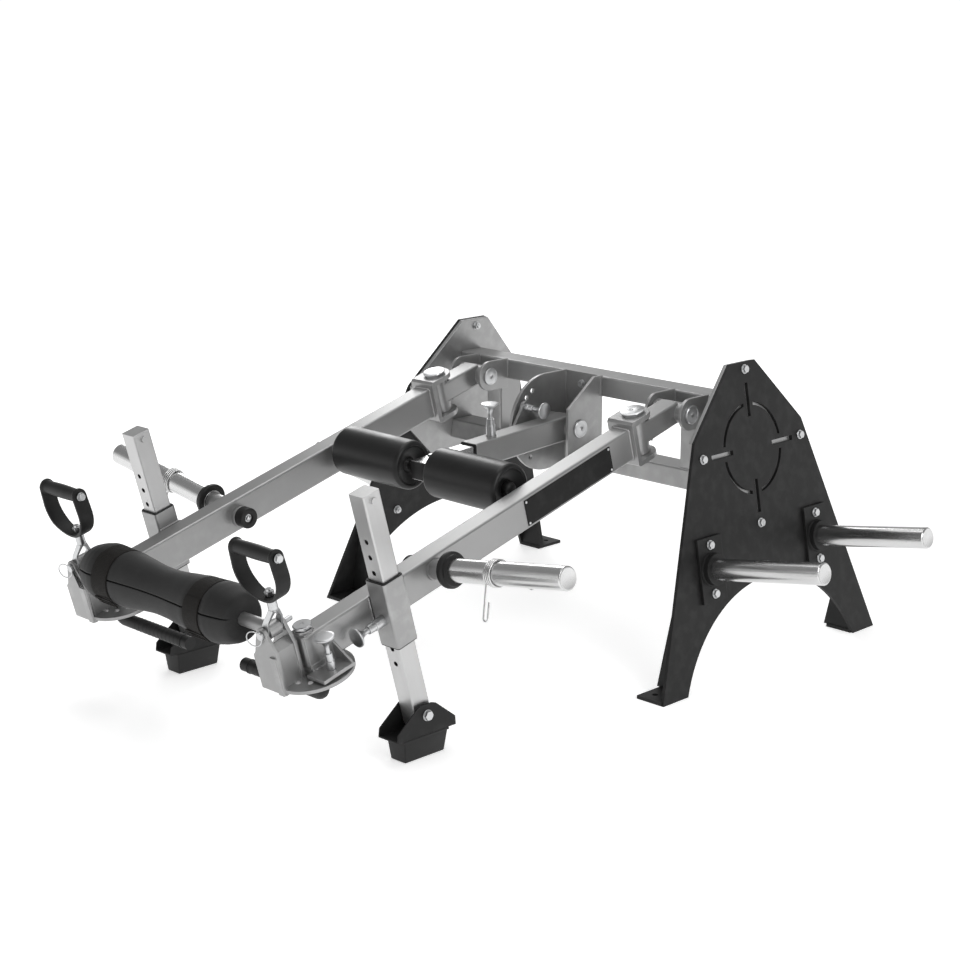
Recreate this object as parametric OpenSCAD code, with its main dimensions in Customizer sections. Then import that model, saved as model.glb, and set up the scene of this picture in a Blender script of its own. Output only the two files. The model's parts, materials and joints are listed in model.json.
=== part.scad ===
// Plate-loaded deadlift machine with a rear frame, two lifting arms, a padded hip bar and a roller arm.
// World frame: millimetres, +X to the right, +Y to the back, +Z up, floor at z = 0,
// origin midway between the four floor tabs.

/* [Rear frame] */
// Height of the side plates
plate_h = 700; // [640:1:760]
// Half width over the side plates at the floor
half_w = 565; // [540:1:600]
// Inward lean of the side plates in degrees
lean = 10; // [8:0.5:12]
// Length of a side plate along the floor
plate_len = 808; // [760:1:860]
// Length of a side plate's flat top
top_len = 92; // [70:1:120]
// Length of a side plate at its shoulder
shoulder_len = 399; // [370:1:430]
// Height of the shoulder
shoulder_z = 544; // [510:1:580]
// Thickness of the outer sheet
sheet_t = 8; // [6:0.5:10]
// Thickness of the inner backing plate
backing_t = 10; // [8:0.5:12]
// Reach of the floor tabs inward
tab_w = 77; // [65:1:90]
// Radius of the anchor holes in the tabs
anchor_r = 7; // [5:0.5:9]
// Height of the top of the upper crossbar
cross_top_z = 617; // [600:1:640]
// Height of the top of the lower crossbar
cross_low_z = 431; // [400:1:460]

/* [Weight storage] */
// Radius of every weight horn
horn_r = 25; // [22:0.1:28]
// Reach of the storage horns from the side plate
store_reach = 315; // [250:1:350]
// Distance of the storage horns from the middle, front to back
store_y = 200; // [190:1:212]
// Height of the storage horns on the plate
store_z = 262; // [255:1:275]

/* [Lifting arms] */
// Distance of each arm from the middle
arm_x = 324; // [318:0.5:330]
// Slope of the arms at rest in degrees
arm_tilt = 15.4; // [15.2:0.1:15.6]
// Height of the lifting axis
lift_z = 582; // [578:0.5:584]
// Width of the arm tube
arm_w = 50; // [46:0.5:54]
// Height of the arm tube
arm_h = 75; // [70:0.5:77]
// Wall of the arm tube
arm_wall = 3; // [2:0.5:5]
// Distance from the lifting axis to the sideways hinge
swing_s = 132; // [126:1:140]
// Distance from the lifting axis to the head pin
head_s = 1150; // [1140:1:1160]
// Distance from the lifting axis to the loading horn
horn_s = 812; // [790:1:830]
// Reach of the loading horn from the arm
horn_reach = 390; // [350:1:400]

/* [Legs] */
// Distance from the lifting axis to the leg
leg_s = 968; // [950:1:980]
// Side of the square leg tube
leg_w = 45; // [42:0.5:46]
// Height of the leg top above the arm
leg_top = 268; // [250:1:280]
// Spacing of the leg holes
leg_pitch = 35; // [32:0.5:38]
// Radius of the leg holes
leg_hole_r = 5.5; // [4:0.1:6.5]

/* [Head and hip bar] */
// Radius of the round index plate
index_r = 83.5; // [82:0.5:86]
// Radius of the hip bar
bar_r = 14; // [12:0.1:15]
// Radius of the hip pad at its ends
pad_r = 63; // [54:0.5:65]
// Radius of the hip pad at its waist
waist_r = 49.5; // [42:0.5:53]
// Length of the hip pad
pad_len = 500; // [480:1:505]
// Shift of the hip pad along the bar
pad_x = -36; // [-40:0.5:-32]
// Length of the D-handle grip
grip_len = 122; // [110:1:130]

/* [Roller arm] */
// Distance of the roller arm axis in front of the middle
roll_y = -118; // [-122:1:-112]
// Height of the roller arm axis
roll_z = 500; // [496:1:506]
// Slope of the roller arm at rest in degrees
roll_tilt = 3.5; // [3:0.1:5]
// Distance from the roller arm axis to the rollers
roll_s = 463; // [440:1:480]
// Radius of a roller
roller_r = 57; // [50:0.5:60]
// Length of a roller
roller_len = 226; // [200:1:230]

/* [Hidden] */
$fn = 40;
tl = tan(lean);
cl = cos(lean);
tab_t = 8;
cross_d = 75;
cross_h = 50;
cross_wall = 3;
corner_r = 5;
front_y = -cross_d / 2;
lift_y = -102;
lift_pin_r = 12.5;
ear_in = 46;
ear_t = 8;
ear_r = 37.5;
post_x = 295;
slack = 0.05;
mark_y = 5;
sheet_x_top = half_w - cross_top_z * tl - (sheet_t + backing_t) / cl;
hinge_r = 28;
hinge_tube_r = 25;
hinge_pin_r = 15;
flange_in = 43;
flange_t = 12;
web_s = swing_s + 36;
arm_s0 = web_s + flange_t;
arm_s1 = head_s + 22;
sleeve_gap = 1;
sleeve_t = 5;
sleeve_w = leg_w + 2 * sleeve_gap + 2 * sleeve_t;
leg_x = arm_x + arm_w / 2 + sleeve_w / 2;
sleeve_top = 76;
sleeve_low = -70;
pin_h = -9;
foot_h = -240;
leg_end = foot_h - 22;
horn_tilt = 10;
spigot = 4;
collar_h = 15;
head_pin_r = 12;
disc_h = -58;
disc_t = 8;
plate2_h = -46;
plate2_t = 8;
hole_ring_r = 52;
hole_a = 8;
hole_step = 28.7;
ear2_s1 = head_s + 28;
ear2_t = 8;
ear2_gap = 40;
ear2_s2 = ear2_s1 + ear2_t + ear2_gap;
hitch_x = 303;
hitch_h = 67;
bar_s = ear2_s1 + ear2_t + ear2_gap / 2;
hitch_r = 6;
dee_x = 326;
dee_h = 142;
dee_top = 247;
grip_r = 14.5;
roll_w = 50;
roll_h = 60;
index_x = -62;
index_t = 8;
right_x = 43;
right_t = 8;
ring_r = 97;
clip_at = 187;
ear_low = -64;
pull_a = 31;

// Node to draw, or all

// Rigid placements

// Right part as modelled, or mirrored for the left
module side(left) {
    if (left) mirror([1, 0, 0]) children();
    else children();
}

// Same part on the left arm, not mirrored
module across() {
    translate([-2 * arm_x, 0, 0]) children();
}

// Local x down the slope, y to the back, z outward, at a height on the right outer face
module on_plate(y, z) {
    translate([half_w - z * tl, y, z]) rotate([0, 90 - lean, 0]) children();
}

// Local -y along the arm to the front, z square to it, x as in the world
module in_arm() {
    translate([0, lift_y, lift_z]) rotate([arm_tilt, 0, 0]) children();
}

// Same for the roller arm
module in_roller() {
    translate([0, roll_y, roll_z]) rotate([roll_tilt, 0, 0]) children();
}

module rod_x(r, l, x0) {
    translate([x0, 0, 0]) rotate([0, 90, 0]) cylinder(r = r, h = l);
}

module rod_y(r, l, y0) {
    translate([0, y0, 0]) rotate([-90, 0, 0]) cylinder(r = r, h = l);
}

module block(x0, x1, y0, y1, z0, z1) {
    translate([x0, y0, z0]) cube([x1 - x0, y1 - y0, z1 - z0]);
}

// Outline of a tube with rounded corners
module tube_2d(w, h, r) {
    polygon([for (c = [[1, 1, 0], [-1, 1, 90], [-1, -1, 180], [1, -1, 270]], a = [0 : 18 : 90])
        [c[0] * (w / 2 - r) + r * cos(c[2] + a), c[1] * (h / 2 - r) + r * sin(c[2] + a)]]);
}

// Rounded bar of section w by h, along x, along -y or up z
module bar_x(x0, x1, w, h, r) {
    translate([x0, 0, 0]) rotate([90, 0, 90]) linear_extrude(x1 - x0) tube_2d(w, h, r);
}

module bar_y(s0, s1, w, h, r) {
    translate([0, -s0, 0]) rotate([90, 0, 0]) linear_extrude(s1 - s0) tube_2d(w, h, r);
}

module bar_z(z0, z1, w, h, r) {
    translate([0, 0, z0]) linear_extrude(z1 - z0) tube_2d(w, h, r);
}

module ring(ro, ri, h) {
    difference() {
        cylinder(r = ro, h = h);
        translate([0, 0, -1]) cylinder(r = ri, h = h + 2);
    }
}

// Hexagon bolt head on a washer, pointing up z
module bolt_head(r, h) {
    cylinder(r = r * 1.25, h = 1.6);
    translate([0, 0, 1.6]) cylinder(r = r, h = h, $fn = 6);
}

// Side plates: sheet with four marks, arch, floor tabs and gussets

function sheet_points(t, s, l) = [[-t / 2, plate_h], [t / 2, plate_h], [s / 2, shoulder_z], [l / 2, 0], [-l / 2, 0],
    [-s / 2, shoulder_z]];

// Outline given in level heights, laid on the slope
module slope_outline(p) {
    polygon([for (q = p) [-q[1] / cl, q[0]]]);
}

module arch_cut() {
    translate([138.3, 0]) circle(r = 346.4 + (plate_len - 808) / 2, $fn = 96);
}

// Broken ring and four radial slots cut into the sheet
module mark_cut() {
    translate([-503 / cl, mark_y]) {
        difference() {
            circle(r = 107, $fn = 72);
            circle(r = 99, $fn = 72);
            for (a = [0, 90]) rotate(a) square([300, 34], center = true);
        }
        for (a = [0 : 90 : 270]) rotate(a) translate([73, -5.5]) square([78, 11]);
    }
}

plate_bolts = [[mark_y, plate_h - 17], [mark_y - 182, 505], [mark_y + 182, 505], [mark_y, 330]];
store_bolts = [[mark_y - store_y, store_z + 55], [mark_y - store_y, store_z - 55], [mark_y + store_y, store_z + 55],
    [mark_y + store_y, store_z - 55]];

module side_sheet() {
    difference() {
        on_plate(0, 0) translate([0, 0, -sheet_t]) linear_extrude(sheet_t) difference() {
            slope_outline(sheet_points(top_len, shoulder_len, plate_len));
            arch_cut();
            mark_cut();
        }
        translate([0, 0, -50]) cube([3000, 3000, 100], center = true);
        for (b = concat(plate_bolts, store_bolts))
            on_plate(b[0], b[1]) translate([0, 0, -40]) cylinder(r = 5.05, h = 60, $fn = 24);
    }
}

module foot_tab(y0, y1, hole_y, gusset_y) {
    inner = half_w - sheet_t / cl;
    difference() {
        union() {
            block(half_w - tab_w, inner + 2, y0, y1, 0, tab_t);
            translate([0, gusset_y + 4, 0]) rotate([90, 0, 0]) linear_extrude(8)
                polygon([[half_w - tab_w - 9, tab_t - 1], [inner + 1, tab_t - 1], [inner - 198 * tl + 1, 198],
                    [inner - 198 * tl - 2, 198]]);
        }
        translate([half_w - tab_w + 27, hole_y, -1]) cylinder(r = anchor_r, h = tab_t + 2, $fn = 32);
        on_plate(0, 0) translate([-60, -600, -3]) cube([120, 1200, 20]);
    }
}

module side_plate() {
    e = plate_len / 2;
    side_sheet();
    foot_tab(-e, -e + 90, -e + 31, -e + 84);
    foot_tab(e - 90, e, e - 31, e - 84);
}

module side_plates() {
    color([0.09, 0.09, 0.095]) for (left = [false, true]) side(left) side_plate();
}

module backing_plates() {
    color([0.55, 0.56, 0.57]) for (left = [false, true]) side(left) difference() {
        on_plate(0, 0) translate([0, 0, -sheet_t - backing_t]) linear_extrude(backing_t)
            slope_outline([[-top_len / 2, plate_h], [top_len / 2, plate_h], [shoulder_len / 2, shoulder_z],
                [shoulder_len / 2 - 8, 430], [97, 345], [40, 308], [-40, 308], [-97, 345],
                [-shoulder_len / 2 + 8, 430], [-shoulder_len / 2, shoulder_z]]);
        for (b = plate_bolts) on_plate(b[0], b[1]) translate([0, 0, -40]) cylinder(r = 5.05, h = 60, $fn = 24);
    }
}

// Welded inner frame: two crossbars, two posts and four pivot ears

module box_x(x0, x1, z0, z1) {
    translate([0, 0, (z0 + z1) / 2]) difference() {
        bar_x(x0, x1, cross_d, z1 - z0, corner_r);
        bar_x(x0 - 1, x1 + 1, cross_d - 2 * cross_wall, z1 - z0 - 2 * cross_wall, corner_r - cross_wall);
    }
}

module leaning_cut() {
    on_plate(0, 0) translate([-1000, -300, -sheet_t - backing_t - 0.05]) cube([1100, 600, 400]);
}

module pivot_ear() {
    difference() {
        union() {
            translate([0, lift_y, lift_z]) rod_x(ear_r, ear_t, 0);
            block(0, ear_t, lift_y, front_y, lift_z - ear_r, lift_z + ear_r);
        }
        translate([0, lift_y, lift_z]) rod_x(lift_pin_r + slack, ear_t + 2, -1);
    }
}

module cross_frame() {
    top = cross_top_z;
    color([0.6, 0.61, 0.62]) {
        for (left = [false, true]) side(left) {
            difference() {
                union() {
                    box_x(-1, 600, top - cross_h, top);
                    box_x(-1, 600, cross_low_z - cross_h, cross_low_z);
                }
                leaning_cut();
            }
            difference() {
                translate([post_x + 25, 0, 0]) bar_z(cross_low_z - 1, top - cross_h + 1, 50, cross_d, corner_r);
                translate([post_x + 25, 0, 0]) bar_z(cross_low_z - 2, top - cross_h + 2, 44, cross_d - 6, corner_r - 3);
            }
            translate([arm_x - ear_in - ear_t, 0, 0]) pivot_ear();
            translate([arm_x + ear_in, 0, 0]) pivot_ear();
        }
    }
}

module lift_pins() {
    l = 2 * (ear_in + ear_t);
    color([0.7, 0.71, 0.72]) for (left = [false, true]) side(left) translate([arm_x, lift_y, lift_z]) {
        rod_x(lift_pin_r, l + 2, -l / 2 - 1);
        rod_x(22, 6, l / 2);
        rod_x(22, 6, -l / 2 - 6);
    }
}

// Bracket for the roller arm: index plate on the left, chamfered plate on the right

module index_holes(r) {
    for (i = [-6 : 2]) rotate([-pull_a - 14.6 * i, 0, 0]) translate([0, -ring_r, 0]) rod_x(r, 40, -20);
}

module centre_bracket() {
    back = front_y - 8;
    color([0.5, 0.51, 0.52]) difference() {
        union() {
            block(index_x - index_t, right_x + right_t, back, front_y, cross_low_z - cross_h, cross_top_z + 3);
            intersection() {
                translate([index_x - index_t, roll_y, roll_z]) rod_x(120, index_t, 0);
                block(index_x - index_t, index_x, -400, back + 1, 300, cross_top_z + 3);
            }
            block(index_x - index_t, index_x, roll_y, back + 1, roll_z - 119, cross_top_z + 3);
            translate([right_x, 0, 0]) rotate([90, 0, 90]) linear_extrude(right_t)
                polygon([[back + 1, 382], [roll_y - 20, 382], [roll_y - 42, 410], [roll_y - 42, 552],
                    [front_y - 30, 620], [back + 1, 620]]);
        }
        translate([0, roll_y, roll_z]) {
            rod_x(10.05, 200, -100);
            translate([index_x - 4, 0, 0]) index_holes(6);
        }
        for (z = [cross_top_z - 25, cross_low_z - 25])
            translate([-10, 0, z]) rod_y(5.05, 40, back - 20);
    }
}

module frame_bolts() {
    color([0.8, 0.81, 0.82]) {
        for (left = [false, true]) side(left) {
            for (b = plate_bolts) on_plate(b[0], b[1]) {
                bolt_head(9, 6);
                translate([0, 0, -26]) cylinder(r = 5, h = 27, $fn = 24);
                translate([0, 0, -sheet_t - backing_t - 7]) cylinder(r = 9, h = 7, $fn = 6);
            }
            for (b = store_bolts) on_plate(b[0], b[1]) {
                translate([0, 0, 8]) bolt_head(9, 6);
                translate([0, 0, -20]) cylinder(r = 5, h = 29, $fn = 24);
                translate([0, 0, -sheet_t - 7]) cylinder(r = 9, h = 7, $fn = 6);
            }
        }
        for (z = [cross_top_z - 25, cross_low_z - 25]) translate([-10, front_y - 8, z]) rotate([90, 0, 0]) {
            bolt_head(8, 5.5);
            translate([0, 0, -7.9]) cylinder(r = 5, h = 9, $fn = 24);
        }
    }
}

// Storage horns with their mounts, square to the leaning plates

module horn_mounts() {
    color([0.08, 0.08, 0.085]) for (left = [false, true]) side(left) for (k = [-1, 1])
        on_plate(mark_y + k * store_y, store_z) difference() {
            union() {
                translate([-74, -42, 0]) cube([148, 84, 8]);
                translate([0, 0, 8]) cylinder(r = horn_r + 11, h = collar_h);
            }
            translate([0, 0, 8]) cylinder(r = horn_r - spigot + slack, h = 20);
            for (e = [-1, 1]) translate([e * 55 / cl, 0, -1]) cylinder(r = 5.05, h = 10, $fn = 24);
        }
}

module storage_horns() {
    color([0.8, 0.81, 0.82]) for (left = [false, true]) side(left) for (k = [-1, 1])
        on_plate(mark_y + k * store_y, store_z) {
            translate([0, 0, 8]) cylinder(r = horn_r - spigot, h = collar_h + 1);
            translate([0, 0, 8 + collar_h + 0.4]) horn_bar(store_reach - 8 - collar_h - 0.4);
        }
}

module horn_bar(l) {
    cylinder(r = horn_r, h = l - 2, $fn = 64);
    translate([0, 0, l - 2]) cylinder(r1 = horn_r, r2 = horn_r - 2, h = 2, $fn = 64);
}

// Stub link between the lifting axis and the sideways hinge

module stub_link() {
    in_arm() translate([arm_x, 0, 0]) difference() {
        union() {
            rod_x(24, 2 * ear_in - 1, -ear_in + 0.5);
            difference() {
                translate([0, 0, 5.5]) bar_y(6, swing_s, arm_w, 51, corner_r);
                translate([0, 0, 5.5]) bar_y(26, swing_s - 20, arm_w - 2 * arm_wall, 51 - 2 * arm_wall, 1.5);
            }
            translate([0, -swing_s, -flange_in + 0.5]) cylinder(r = hinge_tube_r, h = 2 * flange_in - 1);
        }
        rod_x(lift_pin_r + slack, 120, -60);
        translate([0, -swing_s, -60]) cylinder(r = hinge_pin_r + slack, h = 120);
    }
}

module hinge_pin() {
    in_arm() translate([arm_x, -swing_s, 0]) {
        translate([0, 0, -flange_in - flange_t - 8]) cylinder(r = 24, h = 8);
        translate([0, 0, -flange_in - flange_t]) cylinder(r = hinge_pin_r, h = 2 * (flange_in + flange_t));
        translate([0, 0, flange_in + flange_t]) cylinder(r = hinge_r, h = 6);
        translate([0, 0, flange_in + flange_t + 6]) cylinder(r1 = hinge_r, r2 = hinge_r - 2, h = 2);
    }
}

// Long arm: hinge bracket, box tube, leg sleeve, head bearing and index plate seat

module hinge_bracket() {
    w = 38;
    difference() {
        union() {
            for (z = [flange_in, -flange_in - flange_t]) translate([0, 0, z]) {
                translate([0, -swing_s, 0]) cylinder(r = w, h = flange_t);
                block(-w, w, -web_s - 2, -swing_s, 0, flange_t);
            }
            block(-w, w, -arm_s0, -web_s, -flange_in - flange_t, flange_in + flange_t);
        }
        translate([0, -swing_s, -80]) cylinder(r = hinge_pin_r + slack, h = 160);
        for (k = [-1, 1]) translate([0, -arm_s0, k * (flange_in + flange_t)]) rotate([45, 0, 0])
            cube([100, 8, 8], center = true);
    }
}

module leg_sleeve() {
    o = sleeve_w / 2;
    i = leg_w / 2 + sleeve_gap;
    translate([leg_x - arm_x, -leg_s, 0]) difference() {
        bar_z(sleeve_low, sleeve_top, 2 * o, 2 * o, 7);
        bar_z(sleeve_low - 1, sleeve_top + 1, 2 * i, 2 * i, 3);
        translate([0, 0, pin_h]) rod_y(11.55, 20, -o - 5);
    }
}

module arm(seat_front) {
    h = arm_h / 2;
    w = arm_w / 2;
    in_arm() translate([arm_x, 0, 0]) {
        difference() {
            union() {
                hinge_bracket();
                bar_y(arm_s0 - 1, arm_s1, arm_w, arm_h, corner_r + 1);
                translate([0, -head_s, -48]) cylinder(r = 20, h = 92);
                translate([w - 1, 0, 0]) seat_plate(seat_front);
                translate([0, 0, 3]) rotate([0, -horn_tilt, 0]) translate([w - 4, -horn_s, 0]) rotate([0, 90, 0])
                    cylinder(r = 22, h = 49);
            }
            difference() {
                bar_y(arm_s0 + 2, arm_s1 + 1, arm_w - 2 * arm_wall, arm_h - 2 * arm_wall, 2);
                translate([0, -head_s, -60]) cylinder(r = 20, h = 120);
            }
            translate([0, -head_s, -60]) cylinder(r = head_pin_r + slack, h = 120);
            translate([0, 0, 3]) rotate([0, -horn_tilt, 0]) translate([w + 1, -horn_s, 0]) rotate([0, 90, 0])
                cylinder(r = 15.05, h = 60);
            translate([w + hole_x(), -head_s + hole_y(), -60]) cylinder(r = 9.55, h = 30, $fn = 32);
        }
        leg_sleeve();
    }
}

function hole_x() = hole_ring_r * cos(hole_a) - arm_w / 2;
function hole_y() = hole_ring_r * sin(hole_a);

// Flat seat of the index pin, with its gusset, on the outer side of the arm end
module seat_plate(front) {
    block(0, 52, -head_s - front, -head_s + 46, plate2_h, plate2_h + plate2_t);
    translate([0, -head_s + 46, 0]) rotate([90, 0, 0]) linear_extrude(6)
        polygon([[0, plate2_h + 1], [50, plate2_h + 1], [50, plate2_h + plate2_t], [0, 0]]);
    translate([-1, -head_s - 20, plate2_h]) cube([3, 60, 20]);
}

module arm_panel() {
    w = arm_x + arm_w / 2;
    in_arm() {
        block(w, w + 2, -535, -252, -30, 30);
        for (s = [257, 530], h = [-25, 25]) translate([w + 2, -s, h]) rod_x(3, 1.5, 0);
    }
}

module at_horn() {
    in_arm() translate([arm_x, 0, 3]) rotate([0, -horn_tilt, 0]) translate([arm_w / 2 + 1, -horn_s, 0])
        rotate([0, 90, 0]) children();
}

module horn() {
    at_horn() {
        cylinder(r = 15, h = 46);
        translate([0, 0, 45]) horn_bar(horn_reach - 45);
    }
}

module horn_collar() {
    at_horn() translate([0, 0, 45.3]) difference() {
        union() {
            cylinder(r = horn_r + 13.5, h = 9, $fn = 48);
            translate([0, 0, 9]) cylinder(r1 = horn_r + 13.5, r2 = horn_r + 8, h = 4, $fn = 48);
            translate([0, 0, 13]) cylinder(r = horn_r + 8, h = 6, $fn = 48);
        }
        translate([0, 0, -1]) cylinder(r = horn_r + slack, h = 30, $fn = 48);
    }
}

module bump_stop() {
    in_arm() translate([arm_x - arm_w / 2, -horn_s, -4.4]) rotate([0, -90, 0]) {
        cylinder(r = 21, h = 9);
        translate([0, 0, 9]) difference() {
            cylinder(r = 24, h = 25);
            translate([0, 0, 19]) cylinder(r = 10, h = 8);
        }
        translate([0, 0, 27]) cylinder(r = 6, h = 5);
    }
}

// Round tube of n sides along a list of points
function unit(v) = v / norm(v);
function carry(t, u, i = 0) = i == len(t) ? []
    : let(v = unit(u - (u * t[i]) * t[i])) concat([v], carry(t, v, i + 1));
module wire(p, r, n = 8) {
    m = len(p);
    t = [for (i = [0 : m - 1]) unit(p[min(i + 1, m - 1)] - p[max(i - 1, 0)])];
    u = carry(t, cross(t[0], [0.3, 0.2, 0.9]));
    pts = [for (i = [0 : m - 1], k = [0 : n - 1])
        p[i] + r * (cos(360 * k / n) * u[i] + sin(360 * k / n) * cross(t[i], u[i]))];
    sides = [for (i = [0 : m - 2], k = [0 : n - 1])
        [i * n + k, i * n + (k + 1) % n, (i + 1) * n + (k + 1) % n, (i + 1) * n + k]];
    ends = [[for (k = [n - 1 : -1 : 0]) k], [for (k = [0 : n - 1]) (m - 1) * n + k]];
    polyhedron(pts, concat(ends, sides));
}

// Spring clip: turns of wire around the horn and two handles hanging below, each bent back in a hairpin
clip_wire = 2;
clip_turn = horn_r + 0.4 + clip_wire;
clip_a = -68;
clip_b = 60 - 4 * 360;
clip_half = 10;

function clip_start(a) = clip_turn * [cos(a), sin(a), 0];
function hairpin(p, d, z0, z1) = concat([p + 9 * d + [0, 0, z0], p + 40 * d + [0, 0, z0]],
    [for (b = [0 : 30 : 180]) p + (68 + 7 * sin(b)) * d + [0, 0, (z0 + z1) / 2 - (z1 - z0) / 2 * cos(b)]],
    [p + 36 * d + [0, 0, z1]]);
function backwards(v) = [for (i = [len(v) - 1 : -1 : 0]) v[i]];

clip_path = concat(
    backwards(hairpin(clip_start(clip_a), [0.86, -0.51, 0], -clip_half, -clip_half + 13)),
    [for (i = [0 : 96]) let(a = clip_a + (clip_b - clip_a) * i / 96)
        clip_start(a) + [0, 0, clip_half * (i / 48 - 1)]],
    hairpin(clip_start(clip_b), [0.78, 0.62, 0], clip_half, clip_half - 13));

module clip() {
    at_horn() translate([0, 0, clip_at]) wire(clip_path, clip_wire, 6);
}

// Leg: square tube with a row of holes on its front face, closed top and stop bolt

module leg() {
    o = leg_w / 2;
    in_arm() translate([leg_x, -leg_s, 0]) {
        difference() {
            bar_z(leg_end, leg_top, leg_w, leg_w, 4);
            bar_z(leg_end - 1, leg_top - 3, leg_w - 6, leg_w - 6, 1.5);
            for (k = [-3 : 5]) translate([0, 0, pin_h + k * leg_pitch]) rod_y(leg_hole_r, 10, -o - 2);
            translate([0, 0, foot_h]) rod_x(6.05, 80, -40);
        }
        translate([0, 0, leg_top - 16]) rotate([0, 90, 0]) {
            translate([0, 0, o]) cylinder(r = 7.5, h = 5, $fn = 6);
            translate([0, 0, -o - 6]) cylinder(r = 7.5, h = 6, $fn = 6);
        }
    }
}

// Spring pull-pin pointing down z, its nose at z = 0
module pull_pin(nose_r, boss_r, nose_l, boss_h, neck, knob_r) {
    top = nose_l + boss_h;
    step = nose_l + 0.62 * boss_h;
    under = top + neck;
    rotate_extrude($fn = 32) polygon([[0, 0], [nose_r, 0], [nose_r, nose_l], [boss_r, nose_l], [boss_r, step],
        [0.84 * boss_r, step], [0.84 * boss_r, top], [0.54 * boss_r, top], [0.54 * boss_r, under - 0.4 * neck],
        [0.62 * knob_r, under + 2], [0.97 * knob_r, under + 8], [knob_r, under + 9.5], [knob_r, under + 11],
        [0.85 * knob_r, under + 12], [0, under + 12]]);
}

module leg_pin() {
    in_arm() translate([leg_x, -leg_s - leg_w / 2 - 0.3, pin_h]) rotate([90, 0, 0])
        pull_pin(5, 11.5, sleeve_gap + 0.2, 46, 22, 21.5);
}

// Tilting foot: U bracket on the leg's cross bolt with a rubber block under it

foot_x = leg_x + 3.5;

module at_foot() {
    in_arm() translate([foot_x, -leg_s, foot_h]) rotate([-arm_tilt, 0, 0]) children();
}

module foot_ear(x0) {
    translate([x0, 0, 0]) rotate([90, 0, 90]) linear_extrude(3)
        polygon([[-82, -38], [-80, -22], [-26, 20], [-14, 24], [14, 24], [26, 20], [80, -22], [82, -38]]);
}

module foot_bracket() {
    at_foot() {
        difference() {
            union() {
                foot_ear(-29.5);
                foot_ear(26.5);
                block(-29.5, 29.5, -82, 82, -42, -38);
            }
            rod_x(6.05, 80, -40);
        }
        rod_x(6, 70, -34);
        translate([29.5, 0, 0]) rotate([0, 90, 0]) bolt_head(9, 6);
        translate([-29.5, 0, 0]) rotate([0, -90, 0]) bolt_head(9, 5);
        difference() {
            translate([20, 0, 0]) rod_x(11, 6.5, 0);
            rod_x(6.05, 80, -40);
        }
    }
}

foot_z = lift_z - leg_s * sin(arm_tilt) + foot_h * cos(arm_tilt);

module foot_block() {
    at_foot() translate([0, 0, -foot_z]) {
        hull() {
            block(-22, 22, -55, 55, 0, 1);
            block(-28, 28, -61, 61, foot_z - 43, foot_z - 42);
        }
    }
}

module index_pin() {
    in_arm() translate([arm_x + arm_w / 2 + hole_x(), -head_s + hole_y(), disc_h + disc_t + 0.3])
        pull_pin(5.5, 9.5, 2.5, 44, 26, 21.5);
}

// Head: index plate, two clevis ears with a box between them, bearing spacer

module ear_outline() {
    polygon([[-66, ear_low], [-66, 12], [-57, 21], [-38, 68], [-7, 68], [9, 32], [9, ear_low]]);
    translate([hitch_x - arm_x, hitch_h]) circle(r = 14.5);
}

// post_side is 1 when the low grip hangs on the right of the head, -1 on the left
module head(post_side) {
    in_arm() translate([arm_x, 0, 0]) difference() {
        union() {
            difference() {
                translate([0, -head_s, disc_h]) cylinder(r = index_r, h = disc_t, $fn = 72);
                for (i = [0 : 3]) index_hole(1, hole_a - hole_step * i);
                for (i = [0 : 1]) index_hole(-1, hole_a - hole_step * i);
            }
            translate([0, -head_s, disc_h + 1]) cylinder(r = 20, h = 8.7);
            for (s = [ear2_s1, ear2_s2]) translate([0, -s, 0]) rotate([90, 0, 0]) linear_extrude(ear2_t)
                ear_outline();
            translate([0, -ear2_s1 - ear2_t + 1, 0]) rotate([90, 0, 0]) linear_extrude(ear2_gap + 2)
                polygon([[-62, disc_h + 1], [-62, 10], [-20, 40], [-12, 44], [5, 30], [5, disc_h + 1]]);
            block(-10, 7, -ear2_s2 - ear2_t - 4, -ear2_s2 - ear2_t + 1, ear_low, 22);
            translate([post_side * 18, -head_s - 4, disc_h - 25]) cylinder(r = grip_r - 2.5, h = 26);
        }
        translate([0, -head_s, disc_h - 1]) cylinder(r = head_pin_r + slack, h = 40);
        translate([hitch_x - arm_x, 0, hitch_h]) rod_y(hitch_r + 0.3, 100, -ear2_s2 - ear2_t - 5);
    }
}

module index_hole(k, a) {
    translate([k * hole_ring_r * cos(a), -head_s + hole_ring_r * sin(a), disc_h - 1])
        cylinder(r = 6, h = disc_t + 2, $fn = 24);
}

module head_pin() {
    in_arm() translate([arm_x, -head_s, 0]) {
        translate([0, 0, disc_h]) cylinder(r = head_pin_r, h = 46 - disc_h);
        translate([0, 0, 46]) cylinder(r = 20, h = 6);
        translate([0, 0, 52]) cylinder(r1 = 20, r2 = 18, h = 2);
    }
}

low_h = -101;

// Low inward grip on an elbow under the head
module low_grip() {
    in_arm() translate([0, -head_s - 4, 0]) {
        translate([arm_x + 18, 0, low_h]) {
            sphere(r = grip_r);
            difference() {
                cylinder(r = grip_r, h = disc_h - low_h - 0.5);
                translate([0, 0, disc_h - low_h - 25]) cylinder(r = grip_r - 2.45, h = 40);
            }
            rod_x(grip_r, 235, -235);
            translate([-235, 0, 0]) rod_x(grip_r - 2, 3, -3);
        }
    }
}

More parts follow.
